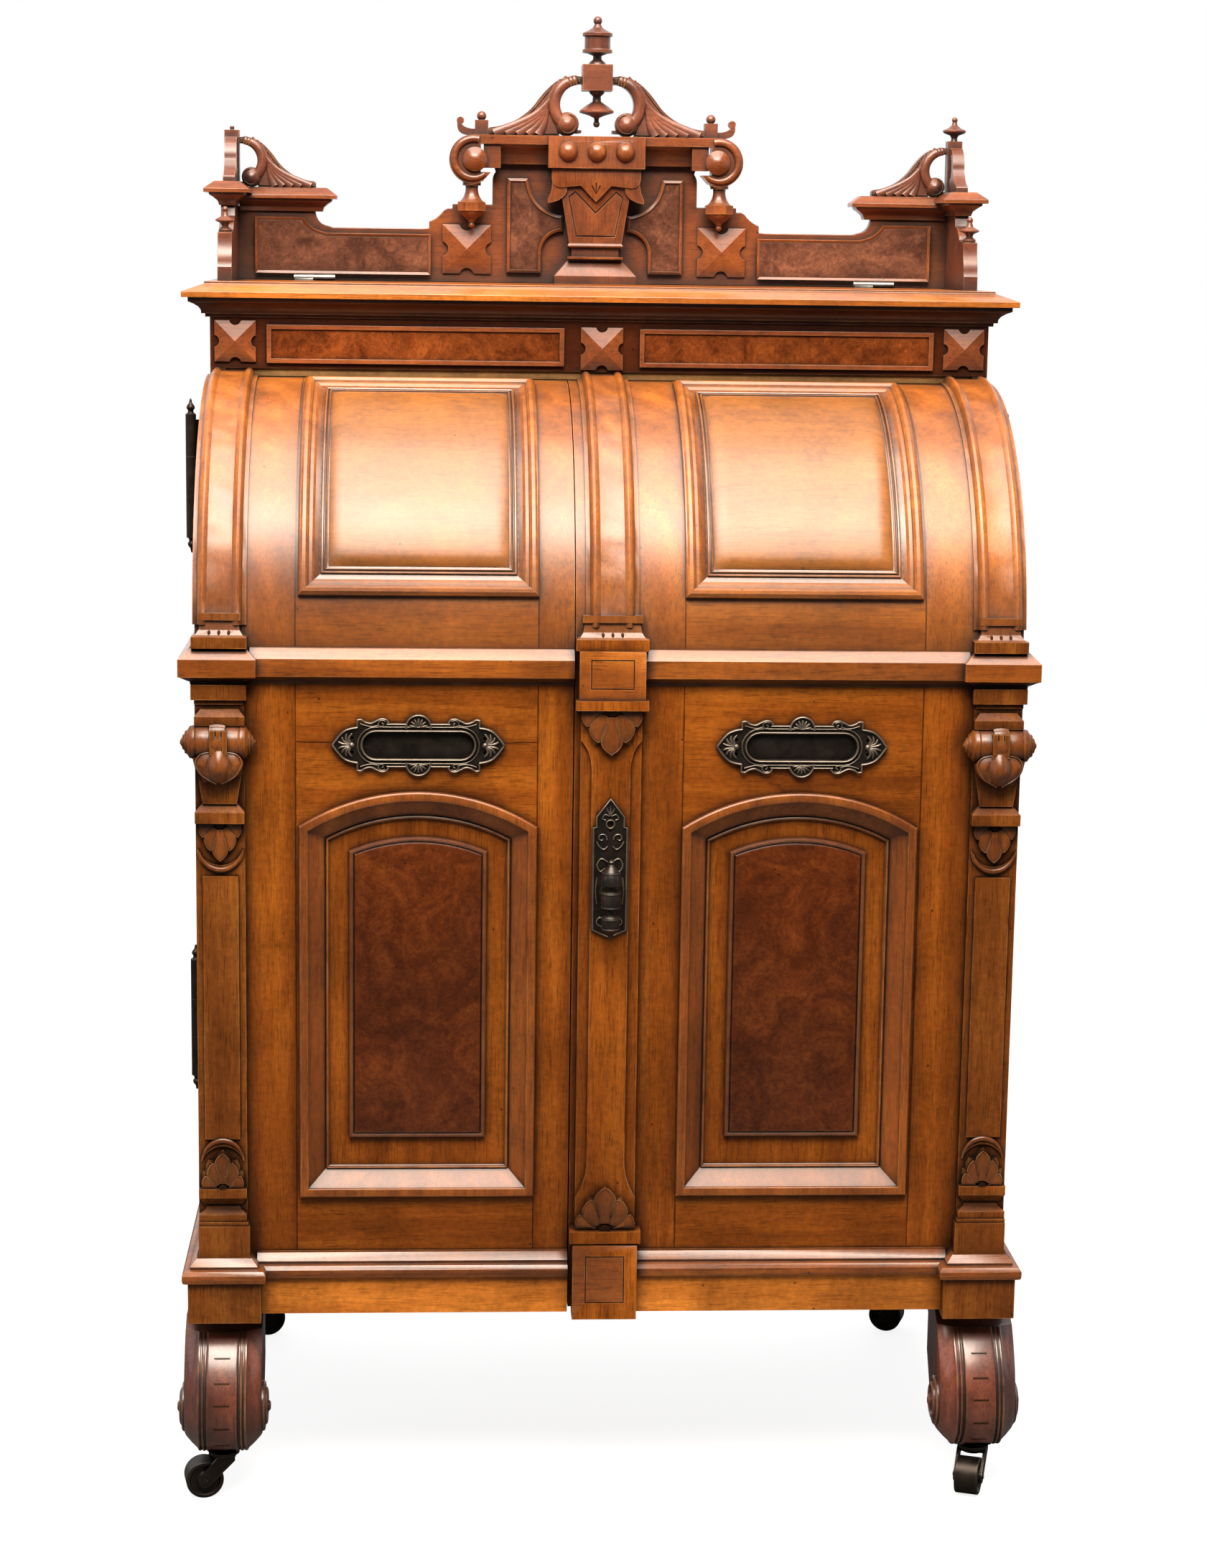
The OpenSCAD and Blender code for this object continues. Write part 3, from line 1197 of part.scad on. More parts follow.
// Pierced oval plate with pointed leaf ends and a shell above and below the slot
module cast_plate() {
  difference() {
    plate_xz(face_y - cast_t, cast_t) difference() {
      union() {
        translate([-slot_w / 2 - 8, -slot_h / 2 - 9]) square([slot_w + 16, slot_h + 18]);
        for (s = [-1, 1]) {
          translate([0, s * (slot_h / 2 + 5)]) circle(r = 16);
          for (x = [-48, 48]) translate([x, s * (slot_h / 2 + 2)]) circle(r = 11);
          scale([s, 1]) polygon(concat([[slot_w / 2, -22]],
            bend([slot_w / 2 + 14, -22], [plate_w / 2 - 12, -16], [plate_w / 2, 0], 6),
            bend([plate_w / 2, 0], [plate_w / 2 - 12, 16], [slot_w / 2 + 14, 22], 6), [[slot_w / 2, 22]]));
        }
      }
      slot_outline(0);
      for (x = [-1, 1], z = [-1, 1]) {
        translate([x * 31, z * (slot_h / 2 + 6.5)]) circle(r = 2.4, $fn = 20);
        translate([x * 63, z * (slot_h / 2 + 3.5)]) circle(r = 2.4, $fn = 20);
        translate([x * (slot_w / 2 + 13), z * 9]) circle(r = 2.4, $fn = 20);
      }
    }
    plate_xz(face_y - cast_t - 1, 1.5) {
      difference() {
        slot_outline(5);
        slot_outline(3);
      }
      for (s = [0, 1]) mirror([0, s]) translate([0, slot_h / 2 + 6])
        for (a = [-60:30:60]) rotate(a) translate([0, 9]) scale([0.6, 1.6]) circle(r = 3.4, $fn = 16);
      for (s = [0, 1]) mirror([s, 0]) translate([slot_w / 2 + 9, 0])
        for (a = [-126:24:-54]) rotate(a) translate([0, 11]) scale([0.5, 1.6]) circle(r = 4, $fn = 16);
    }
  }
}

// The rounded slot, larger by e
module slot_outline(e) {
  r = slot_h / 2 + e;
  for (x = [slot_h / 2 - slot_w / 2, slot_w / 2 - slot_h / 2]) translate([x, 0]) circle(r = r);
  translate([slot_h / 2 - slot_w / 2, -r]) square([slot_w - slot_h, 2 * r]);
}

flap_z = z_slot + slot_h / 2 + 2;
flap_y = face_y + 2.5;

// Slot plate with the two lugs that carry the flap pin
module letter_plate() {
  color(iron) from_front() {
    translate([-panel_x, 0, z_slot]) cast_plate();
    for (s = [-1, 1]) translate([-panel_x + s * (slot_w / 2 + 1.2), 0, flap_z]) difference() {
      board([-1.5, face_y, -3.4], [1.5, flap_y + 3.4, 2.9]);
      translate([-2, flap_y, 0]) rotate([0, 90, 0]) cylinder(r = 1.5 + pin_fit, h = 4);
    }
  }
}

module letter_flap() {
  w = slot_w - 2;
  color(iron) from_front() translate([-panel_x, flap_y, flap_z]) {
    rotate([0, 90, 0]) cylinder(r = 1.5, h = slot_w + 4, center = true);
    board([-w / 2, -1, -slot_h - 3], [w / 2, flap_t - 1, 0]);
  }
}

// Bare plate of the same casting, backed by the door board
module name_plate() {
  color(iron) from_front() {
    translate([panel_x, 0, z_slot]) cast_plate();
    board([panel_x - slot_w / 2 - 2, face_y, z_slot - slot_h / 2 - 2],
          [panel_x + slot_w / 2 + 2, face_y + 2, z_slot + slot_h / 2 + 2]);
  }
}

esc_y = 10;

// Long plate with a pointed top, a keyhole and a boss for the spindle
module escutcheon() {
  color(iron) from_front() translate([0, 0, z_handle]) difference() {
    union() {
      plate_xz(esc_y - 3, 3) {
        polygon([[-17, 84], [-17, 98], [0, 121], [17, 98], [17, 84]]);
        polygon([[-22.5, -48], [-22.5, 84], [22.5, 84], [22.5, -48], [0, -58]]);
      }
      translate([0, esc_y, 0]) rotate([90, 0, 0]) cylinder(r = 13, h = 9);
    }
    translate([0, esc_y + 1, 0]) rotate([90, 0, 0]) cylinder(r = spindle_r + pin_fit, h = 12);
    translate([0, esc_y + 1, 88]) rotate([90, 0, 0]) cylinder(r = 3.2, h = 6);
    board([-1.6, esc_y - 4, 78], [1.6, esc_y + 1, 88]);
  }
}

// Turned handle on its spindle
module door_handle() {
  h = handle_l / 2;
  r = handle_r;
  color(iron) from_front() translate([0, 0, z_handle]) {
    translate([0, -24, 0]) {
      rotate_extrude() polygon([[0, -h], [3, -h], [4, -h + 4], [r - 2, -h + 10], [r - 1, -h + 22], [r - 2, -h + 26],
        [6, -h + 30], [6, -h + 34], [r - 1, -h + 38], [r, -h + 44], [r, -h + 52], [r - 1, -h + 58], [7, -h + 61],
        [7, -h + 64], [r, -h + 67], [r, -h + 76], [r - 1, -h + 80], [r - 3, -h + 84], [5, -h + 90], [3.5, -h + 93],
        [4, -h + 96], [0, -h + handle_l]]);
    }
    translate([0, -24, 0]) rotate([-90, 0, 0]) cylinder(r = spindle_r, h = 24 + plate_back + 12);
  }
}

// Hollow lock case behind the front board, open at the bolt edge
module lock_case() {
  x0 = right_in + wall_t + 1;
  x1 = x0 + 76;
  y0 = plate_back + seam;
  y1 = y0 + 20;
  color(iron) from_front() difference() {
    board([x0, y0, z_handle - 24], [x1, y1, z_bolt + 24]);
    board([x0 + 2.5, y0 + 2.5, z_handle - 21.5], [x1 - 2.5, y1 - 2.5, z_bolt + 21.5]);
    board([x0 - 1, face_y + 22, z_bolt - 8], [x0 + 4, face_y + 31, z_bolt + 8]);
    translate([0, y0 - 1, z_handle]) rotate([-90, 0, 0]) cylinder(r = spindle_r + pin_fit, h = 5);
  }
}

module latch_bolt() {
  color(iron) from_front()
    board([right_in + 0.4, face_y + 22.4, z_bolt - 7.5], [right_in + 70, face_y + 30.6, z_bolt + 7.5]);
}

// Lid, with its own halves of the two hinges
module lid() {
  color(walnut) from_front() {
    difference() {
      board([-lid_hw + lid_gap, lid_y0, z_top - lid_t], [lid_hw - lid_gap, lid_pin_y - 1.2, z_top]);
      for (s = [-1, 1])
        board([s * lid_hinge_x - 29, lid_pin_y - 5, z_top - lid_t - 1], [s * lid_hinge_x + 29, lid_pin_y, z_top + 1]);
    }
    for (s = [-1, 1]) translate([s * lid_hinge_x - 27.6, lid_pin_y, lid_pin_z]) difference() {
      union() {
        rotate([0, 90, 0]) cylinder(r = 4, h = 27.2);
        translate([1, -8, -5]) cube([25, 8, 4]);
      }
      translate([-1, 0, 0]) rotate([0, 90, 0]) cylinder(r = 2 + pin_fit, h = 30);
    }
  }
}

// Drawers, each with a turned knob

module drawer(sx, z0) {
  x0 = column_x + drawer_gap;
  x1 = case_hw - side_t - drawer_gap;
  y0 = case_y0 + 5;
  y1 = case_y1 - back_t - 6;
  z1 = z0 + bay_h - 2 * drawer_gap;
  translate([0, 0, 0]) mirror([sx < 0 ? 1 : 0, 0, 0]) {
    difference() {
      board([x0, y0, z0 + seam], [x1, y1, z1]);
      board([x0 + drawer_t, y0 + 14, z0 + drawer_t], [x1 - drawer_t, y1 - drawer_t, z1 + 1]);
    }
    translate([(x0 + x1) / 2, y0, (z0 + z1) / 2]) rotate([90, 0, 0]) rotate_extrude()
      polygon([[0, -1], [11, -1], [11, 1], [6, 4], [6, 8], [12, 12], [13, 15], [10, 18], [0, 19]]);
  }
}

module drawer_left_upper() { color(inner_wood) from_front() drawer(-1, drawer_z[1]); }
module drawer_left_lower() { color(inner_wood) from_front() drawer(-1, drawer_z[0]); }
module drawer_right_upper() { color(inner_wood) from_front() drawer(1, drawer_z[1]); }
module drawer_right_lower() { color(inner_wood) from_front() drawer(1, drawer_z[0]); }

// Casters

module at_caster(i) {
  translate([caster_at[i][0], caster_at[i][1], 0]) rotate([0, 0, caster_at[i][2]]) children();
}

module fork() {
  crown_z = 2 * wheel_r + 1;
  cheek = wheel_w / 2 + 0.6;
  translate([0, 0, crown_z]) cylinder(r = stem_r, h = foot_z + socket_h - 8 - crown_z);
  translate([0, 0, crown_z]) cylinder(r = 15, h = foot_z - 3.4 - crown_z);
  for (s = [0, 1]) mirror([0, s, 0]) {
    translate([0, cheek + 3, 0]) rotate([90, 0, 0]) linear_extrude(3) {
      translate([trail, wheel_r]) circle(r = 9);
      polygon([[trail + 8, wheel_r + 4], [10, foot_z - 3.4], [-12, foot_z - 3.4], [-12, crown_z], [-8, crown_z - 4],
               [trail - 8, wheel_r - 4]]);
    }
    translate([-12, 0, crown_z]) cube([22, cheek + 3, foot_z - 3.4 - crown_z]);
  }
  translate([trail, 0, wheel_r]) rotate([90, 0, 0]) cylinder(r = axle_r, h = 2 * cheek + 9, center = true);
}

module wheel() {
  w = wheel_w / 2;
  translate([trail, 0, wheel_r]) rotate([90, 0, 0]) rotate_extrude()
    polygon([[axle_r + pin_fit, -w], [9, -w], [11, -w + 3], [wheel_r - 6, -w + 3], [wheel_r - 4, -w],
      [wheel_r - 1, -w], [wheel_r, -w + 1], [wheel_r, w - 1], [wheel_r - 1, w], [wheel_r - 4, w],
      [wheel_r - 6, w - 3], [11, w - 3], [9, w], [axle_r + pin_fit, w]]);
}

module fork_front_left() { color(iron) from_front() at_caster(0) fork(); }
module fork_front_right() { color(iron) from_front() at_caster(1) fork(); }
module fork_rear_left() { color(iron) from_front() at_caster(2) fork(); }
module fork_rear_right() { color(iron) from_front() at_caster(3) fork(); }
module wheel_front_left() { color(iron) from_front() at_caster(0) wheel(); }
module wheel_front_right() { color(iron) from_front() at_caster(1) wheel(); }
module wheel_rear_left() { color(iron) from_front() at_caster(2) wheel(); }
module wheel_rear_right() { color(iron) from_front() at_caster(3) wheel(); }

carcase_sides();
carcase_back();
carcase_bottom();
carcase_partitions();
upper_pigeonholes();
lower_pigeonholes();
writing_flap();
flap_leather();
frieze();
burl_panels();
cornice();
well_tray();
gallery_deck();
gallery_board();
scroll_rail();
pediment();
finials();
urn_panel();
corner_caps();
corner_scrolls();
side_returns();
trestles();
case_mouldings();
case_hinges();
caster_sockets();
left_door_front();
left_door_shell();
left_door_box();
left_door_shelves();
left_door_panels();
left_door_trim();
left_door_hardware();
letter_plate();
right_door_front();
right_door_shell();
right_door_box();
file_boxes();
right_door_panels();
right_door_trim();
centre_pilaster();
right_door_hinges();
name_plate();
escutcheon();
lock_case();
lid();
letter_flap();
door_handle();
latch_bolt();
drawer_left_upper();
drawer_left_lower();
drawer_right_upper();
drawer_right_lower();
fork_front_left();
fork_front_right();
fork_rear_left();
fork_rear_right();
wheel_front_left();
wheel_front_right();
wheel_rear_left();
wheel_rear_right();
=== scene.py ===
import json
from math import asin, copysign, cos, pi, radians, sin

import bmesh
import bpy
from mathutils import Matrix, Vector

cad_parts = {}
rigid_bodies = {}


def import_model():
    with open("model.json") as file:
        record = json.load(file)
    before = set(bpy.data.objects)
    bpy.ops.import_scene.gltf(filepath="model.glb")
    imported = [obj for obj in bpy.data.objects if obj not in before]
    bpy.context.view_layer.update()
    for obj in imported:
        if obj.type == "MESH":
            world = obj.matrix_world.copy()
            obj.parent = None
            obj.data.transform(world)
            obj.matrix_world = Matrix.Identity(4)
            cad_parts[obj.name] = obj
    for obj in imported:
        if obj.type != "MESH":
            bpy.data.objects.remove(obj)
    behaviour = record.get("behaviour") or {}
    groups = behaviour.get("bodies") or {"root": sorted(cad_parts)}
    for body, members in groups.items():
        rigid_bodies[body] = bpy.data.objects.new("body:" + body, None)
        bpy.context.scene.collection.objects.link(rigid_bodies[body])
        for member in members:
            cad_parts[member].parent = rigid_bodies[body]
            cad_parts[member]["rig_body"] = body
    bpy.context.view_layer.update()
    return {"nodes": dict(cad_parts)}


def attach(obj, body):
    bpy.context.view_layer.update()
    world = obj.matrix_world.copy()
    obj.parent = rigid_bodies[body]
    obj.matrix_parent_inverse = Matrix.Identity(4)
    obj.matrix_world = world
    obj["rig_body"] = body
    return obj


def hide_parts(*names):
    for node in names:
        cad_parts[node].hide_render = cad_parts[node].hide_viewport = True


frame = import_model()

# Sizes in millimetres, as in the part's source. y = 0 is the front of the mid caps.
MID_Y = 300
CASE_HALF = 514
DOOR_BACK = 340
FACE_Y = 24
Z_RAIL, Z_LOWER, Z_MID, Z_ARC = 288, 321, 1050, 1095
Z_CORNICE, Z_TOP = 1488, 1534
SHELL_R = 316
PANEL_X, PANEL_HALF = 239, 148.5
PILASTER_X = 483.5
ROLL_X, ROLL_Y, ROLL_Z = 485.5, 8, 979
PLATE_Z = 974
HANDLE_Z = 790
BOARD_Y = 560
RAIL_TOP = Z_TOP + 199
FOOT_X, FOOT_Y, FOOT_Z = 485, 22, 113
SIDES = ((-1, "left"), (1, "right"))


def at(x, y, z):
    """A point of the working drawing, in metres in the row frame."""
    return Vector((x / 1000, (y - MID_Y) / 1000, z / 1000))


# ---- colour and surface effects, each a node group ----

LABELS = ("Light", "Middle", "Dark")
KINDS = dict.fromkeys(("Place", "Grain"), "NodeSocketVector") | dict.fromkeys(("Color", *LABELS), "NodeSocketColor")


class Net:
    """Adds nodes to a tree and joins them. Colours are given as red, green and blue."""

    def __init__(self, tree):
        self.tree = tree
        self.nodes = tree.nodes

    def link(self, value, socket):
        self.tree.links.new(value, socket)

    def add(self, kind, values=None, **props):
        node = self.nodes.new(kind)
        for key, value in props.items():
            setattr(node, key, value)
        for key, value in (values or {}).items():
            socket = node.inputs[key]
            if isinstance(value, bpy.types.NodeSocket):
                self.link(value, socket)
            else:
                socket.default_value = (*value, 1) if socket.type == "RGBA" else value
        return node.outputs

    def use(self, tree, **values):
        """A node group placed with its own values."""
        return self.add("ShaderNodeGroup", values, node_tree=tree)

    def give(self, **values):
        """Makes the group's outputs and hands back the finished group."""
        for label in values:
            self.tree.interface.new_socket(
                label, in_out="OUTPUT", socket_type=KINDS.get(label, "NodeSocketFloat"))
        out = self.nodes.new("NodeGroupOutput").inputs
        for label, value in values.items():
            self.link(value, out[label])
        return self.tree

    def place(self):
        return self.add("ShaderNodeTexCoord")["Object"]

    def math(self, operation, a, b=0.0, clamp=False):
        return self.add("ShaderNodeMath", {0: a, 1: b}, operation=operation, use_clamp=clamp)[0]

    def times(self, a, b, clamp=False):
        return self.math("MULTIPLY", a, b, clamp)

    def plus(self, a, b, clamp=False):
        return self.math("ADD", a, b, clamp)

    def minus(self, a, b):
        return self.math("SUBTRACT", a, b)

    def mix(self, factor, a, b, blend="MIX"):
        return self.add("ShaderNodeMix", {0: factor, 6: a, 7: b}, data_type="RGBA", blend_type=blend)[2]

    def ramp(self, factor, *stops, smooth=False):
        """A ramp through stops of (place, grey or colour)."""
        out = self.add("ShaderNodeValToRGB", {0: factor})[0]
        band = out.node.color_ramp
        band.interpolation = "EASE" if smooth else "LINEAR"
        while len(band.elements) < len(stops):
            band.elements.new(0.5)
        for element, (place, value) in zip(band.elements, stops):
            element.position = place
            element.color = (*value, 1) if isinstance(value, tuple) else (value, value, value, 1)
        return out

    def noise(self, vector, scale, detail=3, rough=0.55, distortion=0.0):
        return self.add(
            "ShaderNodeTexNoise",
            {"Vector": vector, "Scale": scale, "Detail": detail, "Roughness": rough, "Distortion": distortion},
        )["Fac"]

    def cells(self, vector, scale):
        return self.add("ShaderNodeTexVoronoi", {"Vector": vector, "Scale": scale})["Distance"]

    def tones(self, level, given, middle, steepness):
        """Dark to middle to light as the level rises; the light tone sets in at middle."""
        tone = self.mix(self.times(level, 2.0, clamp=True), given["Dark"], given["Middle"])
        light = self.times(self.minus(level, middle), steepness, clamp=True)
        return self.mix(light, tone, given["Light"])

    def bump(self, height, strength, distance):
        return self.add("ShaderNodeBump", {"Strength": strength, "Distance": distance, "Height": height})[0]


def group(name, **inputs):
    """The net of a new node group with these inputs, and the sockets that carry them inside it."""
    tree = bpy.data.node_groups.new(name, "ShaderNodeTree")
    for label, value in inputs.items():
        kind = KINDS.get(label, "NodeSocketFloat")
        socket = tree.interface.new_socket(label, in_out="INPUT", socket_type=kind)
        socket.default_value = (*value, 1) if kind == "NodeSocketColor" else value
    net = Net(tree)
    return net, net.add("NodeGroupInput")


PLAIN_TONES = dict(zip(LABELS, ((0.5, 0.2, 0.05), (0.3, 0.1, 0.02), (0.12, 0.03, 0.01))))


def make_arc_place():
    """Coordinates that follow the quarter-round fronts: across, depth, and the way round."""
    net, _ = group("arc_place")
    x, y, z = net.add("ShaderNodeSeparateXYZ", {0: net.place()})
    forward = net.minus((DOOR_BACK - MID_Y) / 1000, y)
    up = net.minus(z, Z_ARC / 1000)
    angle = net.math("ARCTAN2", net.math("MAXIMUM", up, 0.0), forward)
    way = net.plus(net.times(angle, SHELL_R / 1000), net.math("MINIMUM", up, 0.0))
    return net.give(Place=net.add("ShaderNodeCombineXYZ", {0: x, 1: y, 2: way})[0])


def make_wood_figure():
    """Growth rings, slow colour drift and fine pores, stretched along the grain."""
    net, given = group("wood_figure", Place=(0, 0, 0), Grain=(1, 1, 0.06), Figure=1.0, **PLAIN_TONES)
    along = net.add("ShaderNodeVectorMath", {0: given["Place"], 1: given["Grain"]}, operation="MULTIPLY")[0]
    drift = net.noise(given["Place"], 3.2, 2, 0.5, 0.4)
    broad = net.noise(along, 14.0, 4, 0.55, 1.1)
    narrow = net.noise(along, 75.0, 5, 0.6, 0.8)
    wave = net.add(
        "ShaderNodeTexWave",
        {"Vector": along, "Scale": 9.0, "Distortion": 7.0, "Detail": 3.0, "Detail Scale": 1.4},
        wave_type="BANDS", bands_direction="DIAGONAL",
    )["Fac"]
    shape = net.plus(net.plus(net.times(broad, 0.62), net.times(narrow, 0.50)), net.times(wave, 0.16))
    shape = net.plus(net.times(net.minus(shape, 0.64), given["Figure"]), 0.5)
    shape = net.plus(shape, net.times(net.minus(drift, 0.5), 0.55), clamp=True)
    tone = net.tones(shape, given, 0.5, 2.0)
    pores = net.ramp(net.noise(along, 620.0, 2, 0.6), (0.0, 1), (0.36, 1), (0.47, 0))
    return net.give(Color=net.mix(net.times(pores, 0.5), tone, given["Dark"]), Pores=pores)


def make_burl_figure():
    """Clouded, swirling figure with small dark eyes."""
    net, given = group("burl_figure", Scale=1.0, **PLAIN_TONES)
    place = net.add("ShaderNodeVectorMath", {0: net.place(), "Scale": given["Scale"]}, operation="SCALE")[0]
    cloud = net.noise(place, 11.0, 5, 0.62, 1.6)
    swirl = net.noise(place, 42.0, 8, 0.7, 3.2)
    spots = net.ramp(net.cells(place, 70.0), (0.0, 1), (0.16, 0.4), (0.3, 0))
    eyes = net.times(spots, net.ramp(cloud, (0.42, 0), (0.6, 1)))
    shape = net.minus(net.plus(net.times(cloud, 0.75), net.times(swirl, 0.62)), 0.19)
    level = net.ramp(shape, (0.30, 0), (0.72, 1), smooth=True)
    tone = net.tones(level, given, 0.55, 2.2)
    return net.give(Color=net.mix(net.times(eyes, 0.6), tone, given["Dark"]), Eyes=eyes)


def make_edge_wear():
    """Marks rubbed edges, where a rounded normal leaves the flat one: partly rubbing, partly painted highlights."""
    net, given = group("edge_wear", Width=0.002, Amount=1.0)
    flat = net.add("ShaderNodeNewGeometry")["Normal"]
    soft = net.add("ShaderNodeBevel", {"Radius": given["Width"]}, samples=4)["Normal"]
    same = net.add("ShaderNodeVectorMath", {0: flat, 1: soft}, operation="DOT_PRODUCT")["Value"]
    patch = net.ramp(net.noise(net.place(), 26.0, 4, 0.6), (0.38, 0), (0.68, 1))
    worn = net.ramp(net.minus(1.0, same), (0.02, 0), (0.22, 1))
    return net.give(Worn=net.times(net.times(worn, patch), given["Amount"], clamp=True))


def make_dark_wax():
    """Wax left by old polishing, and painted shade, in corners and under mouldings, dark where an occlusion test finds
    near surfaces.
    """
    net, given = group("dark_wax", Reach=0.02, Amount=1.0)
    near = net.add("ShaderNodeAmbientOcclusion", {"Distance": given["Reach"]}, samples=6)["AO"]
    patch = net.plus(net.times(net.noise(net.place(), 17.0, 4, 0.6, 0.5), 0.8), 0.55)
    dark = net.ramp(near, (0.30, 1), (0.60, 0.80), (0.82, 0.36), (0.99, 0))
    return net.give(Dirt=net.times(net.times(dark, patch), given["Amount"], clamp=True))


def make_old_surface():
    """Blotches, mottling and small bruises of an old finish."""
    net, given = group("old_surface", Amount=1.0)
    place = net.place()
    blotch = net.noise(place, 6.5, 5, 0.62, 0.6)
    mottle = net.noise(place, 130.0, 5, 0.72)
    shade = net.plus(net.times(net.minus(blotch, 0.5), 1.5), net.times(net.minus(mottle, 0.5), 1.15))
    shade = net.plus(net.times(shade, given["Amount"]), 1.0)
    where = net.math("GREATER_THAN", net.noise(place, 14.0, 2), 0.52)
    return net.give(Shade=shade, Bruise=net.times(net.math("LESS_THAN", net.cells(place, 38.0), 0.055), where))


def make_rail_joints():
    """Marks the level rails between the stiles of the doors, the fine lines where they meet, and one split."""
    rail_middle, rail_half, line_width, split_z = 0.241, 0.150, 0.0017, 0.982
    net, _ = group("rail_joints")
    place = net.place()
    x, _, z = net.add("ShaderNodeSeparateXYZ", {0: place})
    off = net.math("ABSOLUTE", net.minus(net.math("ABSOLUTE", x), rail_middle))
    rail = net.math("LESS_THAN", off, rail_half)
    near = net.math("ABSOLUTE", net.minus(off, rail_half))
    line = net.math("LESS_THAN", near, net.times(net.noise(place, 30.0, 3), line_width))
    wander = net.times(net.noise(place, 12.0, 4), 0.010)
    split = net.math("ABSOLUTE", net.minus(net.plus(z, wander), split_z))
    split = net.times(net.math("LESS_THAN", split, 0.0008), net.math("LESS_THAN", x, 0.0))
    line = net.math("MAXIMUM", line, net.times(split, rail))
    return net.give(Rail=rail, Line=net.times(line, 0.75))


ARC_PLACE = make_arc_place()
WOOD_FIGURE = make_wood_figure()
BURL_FIGURE = make_burl_figure()
EDGE_WEAR = make_edge_wear()
DARK_WAX = make_dark_wax()
RAIL_JOINTS = make_rail_joints()
OLD_SURFACE = make_old_surface()

# How far each grain stretches its figure across, in depth and upwards, or round the arc.
GRAINS = {"up": (1, 1, 0.05), "across": (0.05, 1, 1), "deep": (1, 0.05, 1), "round": (1, 1, 0.05),
          "round_across": (0.05, 0.05, 1)}

# ---- materials ----


def new_material(name, slot=None):
    """A new material, its net and its shader's inputs. The slot argument is not used."""
    material = bpy.data.materials.new(name)
    material.use_nodes = True
    net = Net(material.node_tree)
    return material, net, next(n for n in net.nodes if n.type == "BSDF_PRINCIPLED").inputs


def dress(net, shader, tone, level, bump):
    """Joins colour, roughness and bump to the shader."""
    net.link(tone, shader["Base Color"])
    net.link(level, shader["Roughness"])
    net.link(bump, shader["Normal"])


def finish_wood(net, shader, tone, pores, rough=0.36, wear=0.8, wax=1.0, gloss=0.0, shine=0.12, coat=0.2, reach=0.026):
    """Rubbed edges and painted highlights, old polish and painted shade in the hollows, bump and polish shared by
    every wooden finish.
    """
    worn = net.use(EDGE_WEAR, Width=0.0022, Amount=wear)["Worn"]
    dirt = net.use(DARK_WAX, Amount=wax, Reach=reach)["Dirt"]
    aged = net.use(OLD_SURFACE)
    shade = net.add("ShaderNodeCombineXYZ", {k: aged["Shade"] for k in range(3)})[0]
    tone = net.mix(1.0, tone, shade, "MULTIPLY")
    # Pale rubbed edges: rubbing and painted highlights.
    tone = net.mix(net.times(worn, 0.7), tone, (0.70, 0.34, 0.12))
    # Old polish and painted shade in the hollows, and bruises, darken the colour.
    dark = net.math("MAXIMUM", dirt, net.times(aged["Bruise"], 0.8))
    tone = net.mix(dark, tone, (0.010, 0.0035, 0.0015))
    smear = net.noise(net.place(), 9.0, 3, 0.6)
    level = net.plus(net.times(smear, 0.16), rough - 0.08)
    level = net.plus(level, net.times(dirt, 0.22))
    height = net.minus(net.times(smear, 0.3), net.times(pores, 0.55))
    dress(net, shader, tone, level, net.bump(height, 0.10, 0.0008))
    shader["Coat Weight"].default_value = gloss
    shader["Coat Roughness"].default_value = coat
    shader["Specular IOR Level"].default_value = shine


def wood(name, tones, grain="up", figure=1.0, framed=False, slot="walnut", **finish):
    """Figured timber, with painted shade at the foot of a curved front. Framed timber has upright stiles,
    level rails and the joints between them."""
    material, net, shader = new_material(name, slot)
    bent = grain.startswith("round")
    place = net.use(ARC_PLACE)["Place"] if bent else net.place()
    stretch = GRAINS[grain]
    if framed:
        joints = net.use(RAIL_JOINTS)
        stretch = net.mix(joints["Rail"], stretch, GRAINS["across"])
    figured = net.use(WOOD_FIGURE, Place=place, Grain=stretch, Figure=figure, **dict(zip(LABELS, tones)))
    colour = figured["Color"]
    if bent:
        way = net.add("ShaderNodeSeparateXYZ", {0: place})[2]
        # Painted shade: darker towards the foot of a curved front, which the lamps light less.
        handled = net.ramp(net.times(way, 5.0), (0.0, 0.55), (0.75, 1), smooth=True)
        colour = net.mix(handled, (0.045, 0.012, 0.003), colour)
    if framed:
        colour = net.mix(joints["Line"], colour, (0.012, 0.004, 0.002))
    finish_wood(net, shader, colour, figured["Pores"], **finish)
    return material


def burl_wood(name, tones, shine=0.14, **finish):
    """Polished burl veneer."""
    material, net, shader = new_material(name, "burl")
    figured = net.use(BURL_FIGURE, Scale=1.6, **dict(zip(LABELS, tones)))
    finish_wood(net, shader, figured["Color"], figured["Eyes"], rough=0.30, wear=0.5, shine=shine, **finish)
    return material


def cast_metal(name, dark, light, rough, metallic=0.85):
    """Bronzed casting: patina and painted shade in the hollows, rubbing and painted highlights on the high places."""
    material, net, shader = new_material(name, "iron")
    place = net.place()
    patch = net.noise(place, 60.0, 6, 0.65, 0.4)
    tone = net.mix(net.ramp(patch, (0.35, 0), (0.7, 1)), dark, tuple(c * 1.7 for c in dark))
    # Pale high places stand for rubbed metal and painted highlights; dark hollows for patina and painted shade.
    tone = net.mix(net.use(EDGE_WEAR, Width=0.0012, Amount=1.0)["Worn"], tone, light)
    tone = net.mix(net.use(DARK_WAX, Amount=0.8, Reach=0.008)["Dirt"], tone, (0.01, 0.008, 0.006))
    level = net.plus(net.times(patch, 0.3), rough - 0.12)
    dress(net, shader, tone, level, net.bump(net.noise(place, 900.0, 3, 0.6), 0.25, 0.0004))
    shader["Metallic"].default_value = metallic
    return material


